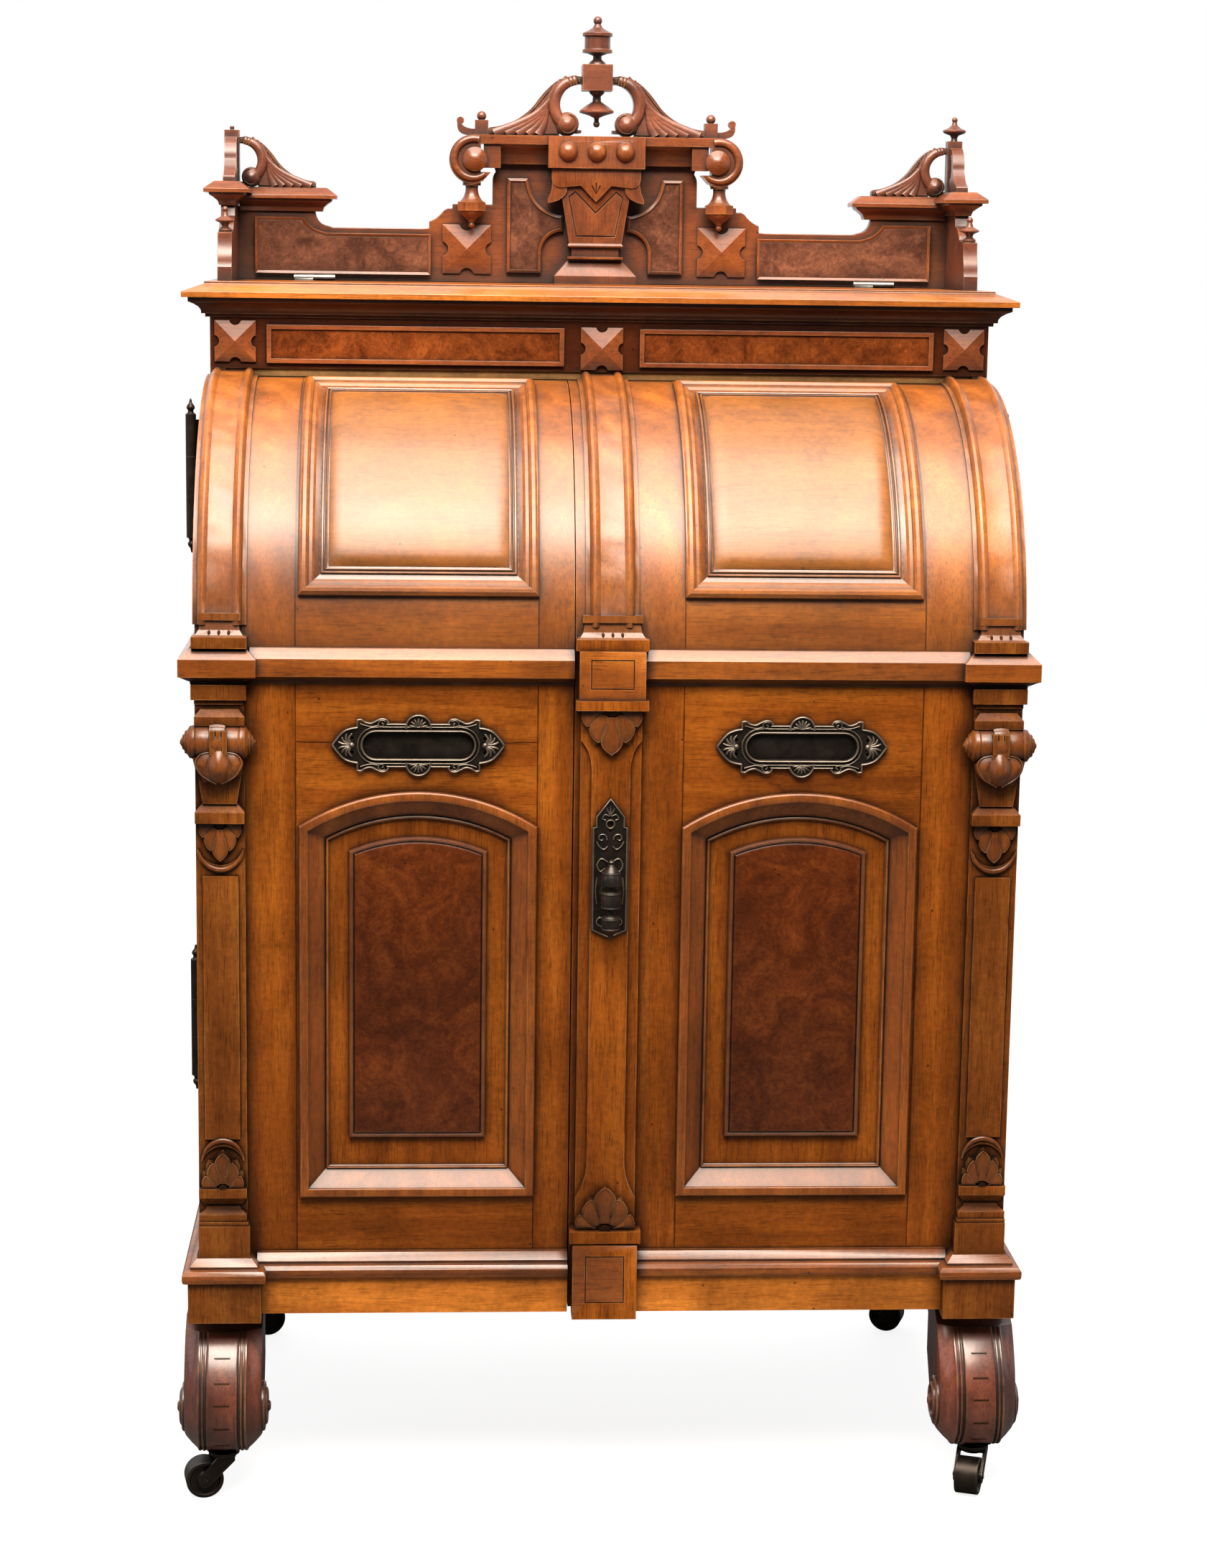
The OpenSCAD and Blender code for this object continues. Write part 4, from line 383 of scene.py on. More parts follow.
def leather(name):
    """Dark hide with a fine pebble."""
    material, net, shader = new_material(name, "leather")
    place = net.place()
    patch = net.noise(place, 12.0, 5, 0.6)
    tone = net.mix(patch, (0.035, 0.022, 0.014), (0.11, 0.07, 0.04))
    dress(net, shader, tone, net.plus(net.times(patch, 0.25), 0.45), net.bump(net.cells(place, 700.0), 0.3, 0.0004))
    return material


def book_cloth(name):
    """Woven cloth over card, rubbed pale at the edges."""
    material, net, shader = new_material(name, "box_cloth")
    place = net.place()
    warp, weft = (net.add("ShaderNodeTexWave", {"Vector": place, "Scale": 420.0}, bands_direction=way)["Fac"]
                  for way in "XZ")
    patch = net.noise(place, 15.0, 4, 0.6)
    tone = net.mix(patch, (0.03, 0.07, 0.035), (0.08, 0.15, 0.07))
    tone = net.mix(net.use(EDGE_WEAR, Width=0.003, Amount=0.8)["Worn"], tone, (0.35, 0.32, 0.2))
    dress(net, shader, tone, net.plus(net.times(patch, 0.15), 0.75), net.bump(net.times(warp, weft), 0.3, 0.0004))
    return material


GOLD = ((0.46, 0.138, 0.013), (0.225, 0.056, 0.005), (0.060, 0.012, 0.002))
BROWN = ((0.33, 0.110, 0.016), (0.165, 0.046, 0.007), (0.045, 0.010, 0.002))
AMBER = ((0.47, 0.150, 0.015), (0.29, 0.078, 0.007), (0.095, 0.021, 0.003))
REDDISH = ((0.34, 0.095, 0.020), (0.19, 0.046, 0.010), (0.055, 0.012, 0.003))
DEEP_RED = ((0.25, 0.072, 0.028), (0.135, 0.034, 0.014), (0.04, 0.010, 0.005))
ON_SHELL = {"grain": "round", "rough": 0.40, "gloss": 0.6, "shine": 0.4, "coat": 0.34}

walnut_up = wood("walnut_up", GOLD)
walnut_brown = wood("walnut_brown", BROWN, wax=1.3)
walnut_across = wood("walnut_across", GOLD, "across")
walnut_deep = wood("walnut_deep", GOLD, "deep")
walnut_framed = wood("walnut_framed", GOLD, framed=True)
walnut_moulded = wood("walnut_moulded", GOLD, "across", rough=0.34, gloss=0.7, shine=0.35, wax=1.3, coat=0.22,
    reach=0.016)
walnut_frame = wood("walnut_frame", GOLD, rough=0.38, wear=1.3, gloss=0.55, shine=0.3, wax=1.5, reach=0.015,
    coat=0.32)
walnut_rail = wood("walnut_rail", ((0.78, 0.27, 0.038), (0.50, 0.15, 0.019), (0.19, 0.046, 0.008)), "across",
    wax=0.7)
walnut_cornice = wood("walnut_cornice", ((0.66, 0.22, 0.03), (0.42, 0.12, 0.014), (0.15, 0.035, 0.005)), "across",
    rough=0.30, gloss=0.7, shine=0.5, wax=1.3)
# Painted shade: a dark copy of the walnut for faces under the mid moulding and the cornice lip.
walnut_shade = wood("walnut_shade", ((0.15, 0.042, 0.007), (0.085, 0.022, 0.004), (0.03, 0.008, 0.002)), "across",
    gloss=0.3, shine=0.3)
walnut_round = wood("walnut_round", AMBER, **ON_SHELL)
walnut_round_framed = wood("walnut_round_framed", AMBER, framed=True, **ON_SHELL)
walnut_round_frame = wood("walnut_round_frame", ((0.33, 0.100, 0.012), (0.19, 0.050, 0.006), (0.06, 0.013, 0.002)),
    "round", rough=0.32, gloss=0.8, shine=0.4, coat=0.26, wax=1.5, reach=0.009)
walnut_field = wood("walnut_field", ((0.33, 0.112, 0.016), (0.25, 0.080, 0.010), (0.135, 0.038, 0.005)),
    "round_across", 0.7, rough=0.42, gloss=0.6, shine=0.4, coat=0.36, reach=0.012)
walnut_carved = wood("walnut_carved", ((0.29, 0.088, 0.012), (0.155, 0.041, 0.006), (0.05, 0.011, 0.002)),
    rough=0.34, wear=1.0, wax=1.4, gloss=0.5, shine=0.3, coat=0.28, reach=0.014)
edge_bead = wood("edge_bead", ((0.20, 0.060, 0.016), (0.11, 0.031, 0.009), (0.035, 0.009, 0.004)), gloss=1.0,
    shine=0.5, coat=0.24, reach=0.008)
red_across = wood("red_across", REDDISH, "across", shine=0.4, gloss=0.5)
red_up = wood("red_up", REDDISH, shine=0.4, gloss=0.5)
# Frieze wood darkened to paint in the shade that the cornice casts on it.
red_frieze = wood("red_frieze", ((0.11, 0.023, 0.005), (0.062, 0.013, 0.003), (0.02, 0.005, 0.002)), "across",
    shine=0.1)
dark_carved = wood("dark_carved", DEEP_RED, "across", slot="walnut_dark", wear=1.0, gloss=0.5, shine=0.4, coat=0.30)
# Dark foot wood with grey mixed into its colour and strong rubbing on the edges as a painted sheen.
dark_feet = wood("dark_feet", ((0.27, 0.068, 0.028), (0.12, 0.031, 0.017), (0.032, 0.009, 0.007)), figure=1.5,
    slot="walnut_dark", wear=1.8, wax=1.6, gloss=0.9, shine=0.45, rough=0.40, coat=0.20)
# Near-black, laid in the hollow of a palmette and in incised cuts as painted shade.
dark_line = wood("dark_line", ((0.03, 0.010, 0.004), (0.02, 0.007, 0.003), (0.01, 0.004, 0.002)),
    slot="walnut_dark", wear=0.2)
back_boards = wood("back_boards", ((0.36, 0.165, 0.055), (0.235, 0.098, 0.031), (0.10, 0.038, 0.013)),
    slot="inner_wood", rough=0.5, wear=0.5)
oak_inside = wood("oak_inside", ((0.50, 0.27, 0.10), (0.38, 0.19, 0.065), (0.20, 0.09, 0.03)), "across",
    slot="inner_wood", rough=0.55, wear=0.5, wax=0.8)
burl_red = burl_wood("burl_red", ((0.135, 0.032, 0.005), (0.085, 0.0175, 0.003), (0.045, 0.009, 0.0016)),
    shine=0.08, gloss=0.5, coat=0.26)
burl_warm = burl_wood("burl_warm", ((0.24, 0.060, 0.012), (0.15, 0.034, 0.007), (0.06, 0.013, 0.003)), shine=0.1)
burl_dusk = burl_wood("burl_dusk", ((0.19, 0.070, 0.036), (0.11, 0.040, 0.022), (0.05, 0.017, 0.010)), gloss=0.6)
dark_iron = cast_metal("dark_iron", (0.028, 0.021, 0.017), (0.42, 0.34, 0.26), 0.42)
# A lighter copy of the iron for raised ornament: rubbed metal and painted highlights.
rubbed_iron = cast_metal("rubbed_iron", (0.11, 0.085, 0.065), (0.50, 0.42, 0.33), 0.34, metallic=0.6)
handle_iron = cast_metal("handle_iron", (0.045, 0.037, 0.032), (0.40, 0.33, 0.26), 0.36)
worn_steel = cast_metal("worn_steel", (0.20, 0.19, 0.18), (0.62, 0.60, 0.56), 0.35)
worn_brass = cast_metal("worn_brass", (0.42, 0.32, 0.16), (0.75, 0.62, 0.38), 0.35)
flap_hide = leather("flap_hide")
box_cloth = book_cloth("box_cloth")

# ---- mesh building: a part is a pair of points and faces ----


def show(name, data):
    """A new object in the scene."""
    obj = bpy.data.objects.new(name, data)
    bpy.context.scene.collection.objects.link(obj)
    return obj


def placed(name, mesh, material, body, stands_for=(), smooth=30, ease=0.0):
    """An object made of mesh, shaded smooth up to an angle, with edges eased and ridden on its body."""
    shape = bmesh.new()
    shape.from_mesh(mesh)
    bmesh.ops.remove_doubles(shape, verts=shape.verts, dist=1e-6)
    bmesh.ops.recalc_face_normals(shape, faces=shape.faces)
    shape.to_mesh(mesh)
    shape.free()
    mesh.shade_smooth()
    mesh.set_sharp_from_angle(angle=radians(smooth))
    mesh.materials.append(material)
    obj = show(name, mesh)
    if ease:
        bevel = obj.modifiers.new("eased_edges", "BEVEL")
        bevel.width = ease / 1000
        bevel.segments = 2
        bevel.limit_method = "ANGLE"
        bevel.angle_limit = radians(smooth)
        bevel.harden_normals = True
    if stands_for:
        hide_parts(*stands_for)
    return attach(obj, body)


def piece(name, part, material, body="carcase", smooth=30, stands_for=()):
    """A new object from a part in metres."""
    points, faces = part
    mesh = bpy.data.meshes.new(name)
    mesh.from_pydata([tuple(p) for p in points], [], faces)
    mesh.update()
    return placed(name, mesh, material, body, stands_for, smooth)


def cad_copy(node):
    """A bare copy of a CAD node's mesh, and the same opened for editing with its corners joined."""
    mesh = frame["nodes"][node].data.copy()
    mesh.materials.clear()
    shape = bmesh.new()
    shape.from_mesh(mesh)
    bmesh.ops.remove_doubles(shape, verts=shape.verts, dist=1e-6)
    return mesh, shape


def eased(node, material, ease, others=(), reshape=None):
    """The CAD node's own shape with its edges rounded over. others holds (test of a face's middle, material),
    and reshape gives each corner of the copy its new place."""
    mesh, shape = cad_copy(node)
    for corner in shape.verts if reshape else ():
        corner.co = at(*reshape(corner.co.x * 1000, corner.co.y * 1000 + MID_Y, corner.co.z * 1000))
    bmesh.ops.dissolve_limit(shape, angle_limit=radians(1.0), verts=shape.verts, edges=shape.edges)
    picks = []
    for face in shape.faces:
        middle = face.calc_center_median()
        spot = (middle.x * 1000, middle.y * 1000 + MID_Y, middle.z * 1000)
        picks.append(next((k + 1 for k, (test, _) in enumerate(others) if test(*spot)), 0))
    shape.to_mesh(mesh)
    shape.free()
    placed(node + "_finished", mesh, material, frame["nodes"][node]["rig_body"], (node,), 28, ease)
    for _, other in others:
        mesh.materials.append(other)
    if others and len(picks) == len(mesh.polygons):
        mesh.polygons.foreach_set("material_index", picks)


def join_parts(*parts):
    """Joins parts into one."""
    points, faces = [], []
    for p, f in parts:
        start = len(points)
        points += p
        faces += [tuple(i + start for i in face) for face in f]
    return points, faces


def moved(part, matrix):
    return [matrix @ Vector(p) for p in part[0]], part[1]


def to_metres(part):
    return [at(*p) for p in part[0]], part[1]


def strips(rows, count, closed=True):
    """Faces between rows of count points each, whose ends meet if they are closed."""
    faces = []
    for k in range(rows - 1):
        for i in range(count if closed else count - 1):
            a, b = k * count + i, k * count + (i + 1) % count
            faces.append((a, b, b + count, a + count))
    return faces


def cap_fan(points, start, count, centre):
    """Faces from a ring to one middle point that is added to points."""
    points.append(centre)
    last = len(points) - 1
    return [(start + i, start + (i + 1) % count, last) for i in range(count)]


def lathe(profile, turns=48):
    """(radius, height) pairs turned round the z axis, in millimetres round the origin."""
    points = []
    for r, z in profile:
        for k in range(turns):
            a = 2 * pi * k / turns
            points.append(Vector((r * cos(a), r * sin(a), z)))
    return points, strips(len(profile), turns)


def moulding(ring, profile, place):
    """A profile of (inset, height) pairs run round the closed outline that ring(inset) gives."""
    rings = [ring(depth) for depth, _ in profile]
    points = [place(*p, height) for outline, (_, height) in zip(rings, profile) for p in outline]
    return points, strips(len(profile), len(rings[0]))


def swell(outline, middle, rise, place, rings=5, base=0.0, edge=0.0):
    """A rounded swelling over a closed outline, highest at its middle, with an upright edge."""
    points, faces = [], []
    n = len(outline)
    centre = Vector(middle)
    for k in range(rings + 1):
        t = k / (rings + 1)
        h = base + edge + (rise - edge) * sin(t * pi / 2)
        points += [place(*Vector(p).lerp(centre, t), h) for p in outline]
    if edge:
        points += [place(*p, base) for p in outline]
        low = (rings + 1) * n
        faces += [(low + i, low + (i + 1) % n, (i + 1) % n, i) for i in range(n)]
    faces += strips(rings + 1, n)
    faces += cap_fan(points, rings * n, n, place(*middle, base + rise))
    return points, faces


def bead(path, width, place, height=None, base=0.0, closed=False, taper=None, sides=6):
    """A half-round strip along a path; taper gives the width at each share of the way."""
    height = width / 2 if height is None else height
    points, faces = [], []
    n = len(path)
    for i, p in enumerate(path):
        before = Vector(path[i - 1] if i or closed else path[0])
        after = Vector(path[(i + 1) % n] if i < n - 1 or closed else path[-1])
        along = (after - before).normalized()
        across = Vector((-along.y, along.x))
        size = taper(i / max(1, n - 1)) if taper else 1.0
        for k in range(sides + 1):
            a = pi * k / sides
            spot = Vector(p) + across * (cos(a) * width / 2 * size)
            points.append(place(spot.x, spot.y, base + sin(a) * height * size))
    for i in range(n if closed else n - 1):
        for k in range(sides):
            a, b = i * (sides + 1) + k, (i + 1) % n * (sides + 1) + k
            faces.append((a, b, b + 1, a + 1))
    if not closed:
        faces += [tuple(range(sides + 1)), tuple(range((n - 1) * (sides + 1), n * (sides + 1)))]
    return points, faces


# ---- outlines and paths ----


def polar(r, degrees, x=0.0, y=0.0):
    """The point at radius r round (x, y), anticlockwise from the right."""
    a = radians(degrees)
    return x + r * cos(a), y + r * sin(a)


def leaning(r, degrees, y=0.0):
    """The point at radius r round (0, y), clockwise from the top."""
    a = radians(degrees)
    return r * sin(a), y + r * cos(a)


def spiral(x, y, r0, r1, a0, a1, steps):
    return [polar(r0 + (r1 - r0) * k / steps, a0 + (a1 - a0) * k / steps, x, y) for k in range(steps + 1)]


def ring_path(x, y, r, steps=28):
    return [(x + r * cos(2 * pi * k / steps), y + r * sin(2 * pi * k / steps)) for k in range(steps)]


def mirrored(path, across=1, up=1):
    return [(across * u, up * v) for u, v in path]


def curve(*knots, steps=10):
    """A smooth path through knots."""
    pts = [Vector(k) for k in (knots[0], *knots, knots[-1])]
    out = []
    for i in range(1, len(pts) - 2):
        for k in range(steps):
            t = k / steps
            a, b, c, d = pts[i - 1:i + 3]
            spot = 0.5 * (2 * b + (c - a) * t + (2 * a - 5 * b + 4 * c - d) * t * t
                          + (3 * b - a - 3 * c + d) * t ** 3)
            out.append((spot.x, spot.y))
    out.append(tuple(pts[-2]))
    return out


def bend(a, b, c, n):
    """A curve from a to c, drawn towards b."""
    a, b, c = Vector(a), Vector(b), Vector(c)
    return [tuple(a * (1 - t) ** 2 + b * 2 * t * (1 - t) + c * t * t) for t in [k / n for k in range(n + 1)]]


def arch_ring(half, low, spring, rise, depth, steps=28):
    """An arch-topped outline set in by depth, anticlockwise from the lower right."""
    r = (half * half + rise * rise) / (2 * rise)
    middle = spring + rise - r
    half, low, r = half - depth, low + depth, r - depth
    a = asin(half / r)
    side = middle + r * cos(a)
    up = [(half, low + (side - low) * k / 8) for k in range(8)]
    top = [(r * sin(a - 2 * a * k / steps), middle + r * cos(a - 2 * a * k / steps)) for k in range(steps + 1)]
    down = [(-half, side + (low - side) * k / 8) for k in range(1, 9)]
    return up + top + down


def inset(outline, depth):
    """A closed anticlockwise outline set in by depth with mitred corners."""
    out = []
    n = len(outline)
    for i, p in enumerate(outline):
        p = Vector(p)
        a = (p - Vector(outline[i - 1])).normalized()
        b = (Vector(outline[(i + 1) % n]) - p).normalized()
        lean = Vector((-a.y, a.x)) + Vector((-b.y, b.x))
        out.append(tuple(p + lean * (depth * 2 / max(lean.length_squared, 0.4))))
    return out


def facing(x, y, z, across=1, up=1):
    """A placer for work on a front face at depth y: u across, v up, h out of the face."""
    return lambda u, v, h: at(x + across * u, y - h, z + up * v)


# ---- door panels ----

FRAME_PROFILE = [(0, 0), (0, 5.0), (0.8, 7.6), (2.4, 9.0), (5, 9.2), (9, 9.2), (11.0, 8.6), (11.9, 7.4),
                 (12.1, 4.6), (13.0, 3.9), (33.2, -11.6), (33.4, -9.6), (34.6, -8.9), (36.0, -9.6),
                 (36.4, -11.6), (37.4, -12.4), (38, -14)]
EDGE_PROFILE = [(0, 0), (0, 3.0), (0.7, 5.0), (2.0, 6.4), (3.8, 6.8), (5.4, 6.2), (6.2, 4.8), (6.4, 3.6)]
BURL_PROFILE = [(6.3, 3.6), (6.8, 5.6), (8.2, 7.0), (10.2, 7.6)]
ARC_PROFILE = [(0, 0), (0, 5.2), (0.8, 6.6), (2.2, 7.2), (6.4, 7.2), (7.6, 6.6), (8.0, 4.6), (9.0, 4.2),
               (27.4, -2.2), (27.6, -0.2), (28.6, 0.7), (30.0, 0.6), (30.9, -0.4), (31.1, -2.6), (32.0, -2.6),
               (32.3, -1.2), (33.6, -0.6), (34.9, -1.2), (35.2, -2.6), (37, -2.95)]
SUNK = 14
PANEL_MIDDLE = 650


def arched_door_panel(side, tag):
    """Moulded arched frame, sunk field and raised burl panel of one door."""
    body = tag + "_door"
    place = facing(side * PANEL_X, FACE_Y, 0)

    def outer(depth):
        return arch_ring(PANEL_HALF, 392, 872, 44, depth)

    def raised(profile):
        return moulding(lambda depth: arch_ring(86.5, 466, 838, 18, depth), [(d, h - SUNK) for d, h in profile], place)

    count = len(outer(0))
    piece(tag + "_arched_frame", moulding(outer, FRAME_PROFILE, place), walnut_frame, body, 24, [body + "_panels"])
    field = moulding(outer, [(37.8, 0.1 - SUNK), (40, 0.1 - SUNK)], place)
    field[1].extend(cap_fan(field[0], count, count, place(0, PANEL_MIDDLE, 0.1 - SUNK)))
    piece(tag + "_sunk_field", field, walnut_up, body)
    piece(tag + "_burl_edge", raised(EDGE_PROFILE), edge_bead, body, 24)
    burl = raised(BURL_PROFILE)
    burl[1].extend(cap_fan(burl[0], len(burl[0]) - count, count, place(0, PANEL_MIDDLE, 7.6 - SUNK)))
    piece(tag + "_burl_panel", burl, burl_red, body, 24)


def curved_door_panel(side, tag):
    """Moulded frame and cushioned field on the quarter-round front of one door."""
    body = tag + "_door"
    low, high = radians(11.6) * SHELL_R, radians(81) * SHELL_R
    steps, field_in, nu, nv = 36, 37, 24, 40

    def place(u, v, h):
        a = v / SHELL_R
        r = SHELL_R + h
        return at(side * PANEL_X + u, DOOR_BACK - r * cos(a), Z_ARC + r * sin(a))

    def outer(depth):
        u, v0, v1 = PANEL_HALF - depth, low + depth, high - depth
        return ([(-u + 2 * u * k / 10, v0) for k in range(10)]
                + [(u, v0 + (v1 - v0) * k / steps) for k in range(steps)]
                + [(u - 2 * u * k / 10, v1) for k in range(10)]
                + [(-u, v1 - (v1 - v0) * k / steps) for k in range(steps)])

    piece(tag + "_curved_frame", moulding(outer, ARC_PROFILE, place), walnut_round_frame, body, 24)
    half, v0, v1 = PANEL_HALF - field_in, low + field_in, high - field_in
    points = []
    for j in range(nv + 1):
        for i in range(nu + 1):
            s, t = i / nu * 2 - 1, j / nv * 2 - 1
            edge = min(1, (1 - abs(s)) / 0.10) * min(1, (1 - abs(t)) / 0.08)
            edge = sin(edge * pi / 2)
            points.append(place(half * s, v0 + (v1 - v0) * j / nv, -2.9 + 4.2 * edge))
    piece(tag + "_curved_field", (points, strips(nv + 1, nu + 1, closed=False)), walnut_field, body, 40)


for side, tag in SIDES:
    arched_door_panel(side, tag)
    curved_door_panel(side, tag)

# ---- carving on the doors ----

LEAF_WIDTH, LEAF_HEIGHT = 74, 55
LEAF_MIDDLE = [(-6, 8), (-6.5, 18), (-9.5, 29), (-13, 40), (-11, 45.5), (-6, 51), (0, 55)]
LEAF_MIDDLE += mirrored(LEAF_MIDDLE[-2::-1], -1)
LEAF_NEXT = [(5, 7), (7.5, 18), (10.5, 28), (14, 38), (17, 39.5), (22.5, 35.5), (26.5, 29), (28, 22), (26, 16),
             (19, 9), (12, 4)]
LEAF_LOW = [(10, 0.5), (14, 4), (21, 11), (27.5, 18.5), (31, 19.5), (35, 14.5), (37, 7), (37, 0.5)]


def palmette(name, place, width, height, body, rise=4.0):
    """Five stepped petals, each lying over the next one out, with raised edges and painted shade in the hollow at the
    foot.
    """
    parts = []

    def petal(outline, peak, flip, share, rings, edge, line, last):
        *outline, peak = [(flip * u * width / LEAF_WIDTH, v * height / LEAF_HEIGHT) for u, v in (*outline, peak)]
        parts.append(swell(outline, peak, rise * share, place, rings, 0.0, edge))
        parts.append(bead(outline[1:last], line, place, 1.1, base=edge - 0.1))

    for flip in (-1, 1):
        petal(LEAF_LOW, (27, 7), flip, 0.7, 4, 1.4, 1.5, 7)
        petal(LEAF_NEXT, (17, 24), flip, 0.85, 4, 2.0, 1.6, 8)
    petal(LEAF_MIDDLE, (0, 30), 1, 1, 5, 2.6, 1.7, 12)
    # Painted shade: a dark half disc stands for the hollow at the foot.
    hollow = [(0.09 * width * cos(pi * k / 12), 0.11 * height * sin(pi * k / 12)) for k in range(13)]
    points = [place(u, v, h) for h in (rise + 0.6, 0.0) for u, v in hollow]
    faces = [tuple(range(13)), *strips(2, 13, closed=False), (0, 12, 25, 13)]
    piece(name + "_hollow", (points, faces), dark_line, body)
    piece(name, join_parts(*parts), walnut_carved, body, 32)


ROLL_PROFILE = [(0, -45), (5, -44.6), (6.5, -43), (6, -41.8), (10.5, -41), (11.5, -39.5), (11, -38.2), (15.5, -37.4),
                (16.8, -35.8), (16, -34.4), (19.4, -33.6), (20.6, -31.5), (20.8, -28), (19.6, -26.4), (20.3, -25),
                (20.3, -14)]
ROLL_PROFILE += mirrored(ROLL_PROFILE[::-1], up=-1)
STRAP_SECTION = ((-10.5, 19.5), (-9.5, 21.6), (-5, 22.6), (0, 23.0), (5, 22.6), (9.5, 21.6), (10.5, 19.5))
LOBE = curve((9, -24), (20, -27), (28, -36), (27, -45), (20, -55), (5, -63), (6, -48), (9, -34), steps=5)
LOBE_EDGE = curve((10, -25), (22, -28), (28, -37), (26, -46), (18, -56), (3, -64), steps=5)
EGG = [(15.5 * sin(a) * (1 - 0.14 * cos(a)), -40 + 23 * cos(a)) for a in [2 * pi * k / 28 for k in range(28)]]


def roll_and_tongue(side, tag):
    """Turned roll on its block, the strap over it and the leaf with its drooping tongue."""
    body = tag + "_door"
    front = facing(side * PILASTER_X, -7, 994, across=side)
    strap, rows = [], list(range(112, -52, -8))
    for a in rows:
        ridge = 1.5 if a in (56, 72) else 0.0
        for u, r in STRAP_SECTION:
            y, z = polar(-(r + ridge), -a, ROLL_Y, ROLL_Z)
            strap.append((side * ROLL_X + u, y, z))
    parts = [to_metres((strap, strips(len(rows), len(STRAP_SECTION), closed=False)))]
    for flip in (-1, 1):
        parts.append(swell(mirrored(LOBE, flip), (flip * 18, -42), 6.5, front, edge=1.5))
        parts.append(bead(mirrored(LOBE_EDGE, flip), 3.0, front, 2.4, base=1.0))
    parts.append(swell(EGG, (0, -45), 15.0, front, rings=9, base=0.5, edge=2.5))
    piece(tag + "_tongue", join_parts(*parts), walnut_carved, body, 40)
    matrix = Matrix.Translation((side * ROLL_X, ROLL_Y, ROLL_Z)) @ Matrix.Rotation(radians(90), 4, "Y")
    piece(tag + "_roll", to_metres(moved(lathe(ROLL_PROFILE, 40), matrix)), walnut_carved, body, 40)


def crescent(name, place, half, drop, body):
    """A bent bead that thins out to its two ends."""
    path = [(half * sin(radians(a)), drop * cos(radians(a))) for a in range(-82, 83, 8)]
    shape = bead(path, 7.0, place, 2.6, taper=lambda t: 0.25 + 0.75 * sin(pi * t))
    piece(name, shape, walnut_carved, body, 40)


for side, tag in SIDES:
    x, body = side * PILASTER_X, tag + "_door"
    roll_and_tongue(side, tag)
    palmette(tag + "_low_palmette", facing(x, 8.0, 408), 52, 46, body)
    palmette(tag + "_hanging_palmette", facing(x, 9.5, 876, up=-1), 52, 46, body, 3.4)
    crescent(tag + "_upper_crescent", facing(x, 11.0, 844, up=-1), 26, 26, body)
    crescent(tag + "_lower_crescent", facing(x, 11.0, 444), 25, 25, body)
palmette("centre_low_palmette", facing(0, 4.0, 353), 76, 55, "right_door", 5.0)
palmette("centre_hanging_palmette", facing(0, 5.0, 1021, up=-1), 75, 55, "right_door", 3.6)

# ---- castings ----

SHELL_Z, FAN_X = 22.5, 82.5
# Each row of work is a path with the width and the height of its bead.
PLATE_WORK = (
    ([(15, 26.5), (39, 26.5)], 2.2, 2.0),
    (curve((37, 28), (40, 32), (46, 33), (52, 30.5), (59, 27.5), (66, 29), (71, 32), (75.5, 31.5)), 2.8, 2.2),
    (curve((50, 25), (58, 23.5), (66, 25), (72, 27)), 1.8, 1.5),
    ([(75.5, 32), (75.5, 22)], 2.6, 2.2),
    (curve((75.5, 22), (84, 20.5), (92, 17), (99, 10), (106, 0.5)), 3.2, 2.4),
    (spiral(45.5, 26.5, 5.6, 1.4, 140, -250, 22), 2.0, 1.9),
)
LOCK_WORK = (
    (spiral(10.5, 70, 6.5, 1.4, 200, -160, 24), 2.0, 1.5),
    (curve((3, 60), (8, 56), (14, 60), (17, 66)), 2.2, 1.6),
    (curve((3, 40), (11, 44), (16, 36), (12, 28), (6, 32)), 2.2, 1.6),
    (curve((16, 20), (17.5, 4), (16, -14)), 2.0, 1.4),
    (curve((4, -34), (12, -31), (16, -38), (8, -44)), 2.0, 1.5),
    (curve((1, 98), (7, 100), (10, 95), (6, 93)), 1.8, 1.4),
)


def slot_ring(depth, half=69, tall=16.5, steps=10):
    """The rounded slot outline set out by depth."""
    r = tall + depth
    c = half - tall
    right = [(c + r * sin(pi * k / steps), -r * cos(pi * k / steps)) for k in range(steps + 1)]
    return right + mirrored(right, -1, -1)


def work_beads(work, face, across, up=1):
    return [bead(mirrored(path, across, up), width, face, height) for path, width, height in work]


def swelling(low, high, share, start):
    """A taper that swells from low to high and closes again."""
    return lambda t: low + high * sin(pi * min(1, t * share + start))


def ornament_plate(name, x, body):
    """Raised work on a cast slot plate: beads round the slot and the edge, shells, leaves and scrolls."""
    face = facing(x, 20, PLATE_Z)
    parts = [bead(slot_ring(1.6), 2.8, face, 2.6, closed=True), bead(slot_ring(6.4), 1.9, face, 1.4, closed=True)]
    for up in (-1, 1):
        for right in (-1, 1):
            parts += work_beads(PLATE_WORK, face, right, up)
            for reach, lean in ((19, 14), (17, 38), (16, 64), (15, 92)):
                a = radians(lean)
                tip = (FAN_X + reach * cos(a) * 0.92, reach * sin(a) * 0.98)
                path = curve((FAN_X, 0.8), polar(reach * 0.6, lean * 0.72, FAN_X), tip)
                parts.append(bead(mirrored(path, right, up), 3.2, face, 2.2, taper=swelling(0.40, 0.75, 0.85, 0.08)))
        shell = [leaning(15.2, a, SHELL_Z) for a in range(-96, 97, 12)]
        parts.append(bead(mirrored(shell, up=up), 3.0, face, 2.4))
        for lean in (-78, -52, -26, 0, 26, 52, 78):
            petal = [leaning(r, lean, SHELL_Z) for r in (2, 4.5, 7, 9.5, 11.5)]
            parts.append(bead(mirrored(petal, up=up), 3.3, face, 2.4, taper=swelling(0.35, 0.70, 0.8, 0.1)))
    for right in (-1, 1):
        boss = mirrored(ring_path(FAN_X, 0, 3.4, 12), right)
        parts.append(swell(boss, (right * FAN_X, 0), 3.6, face, edge=1.5))
    piece(name, join_parts(*parts), rubbed_iron, body, 40)


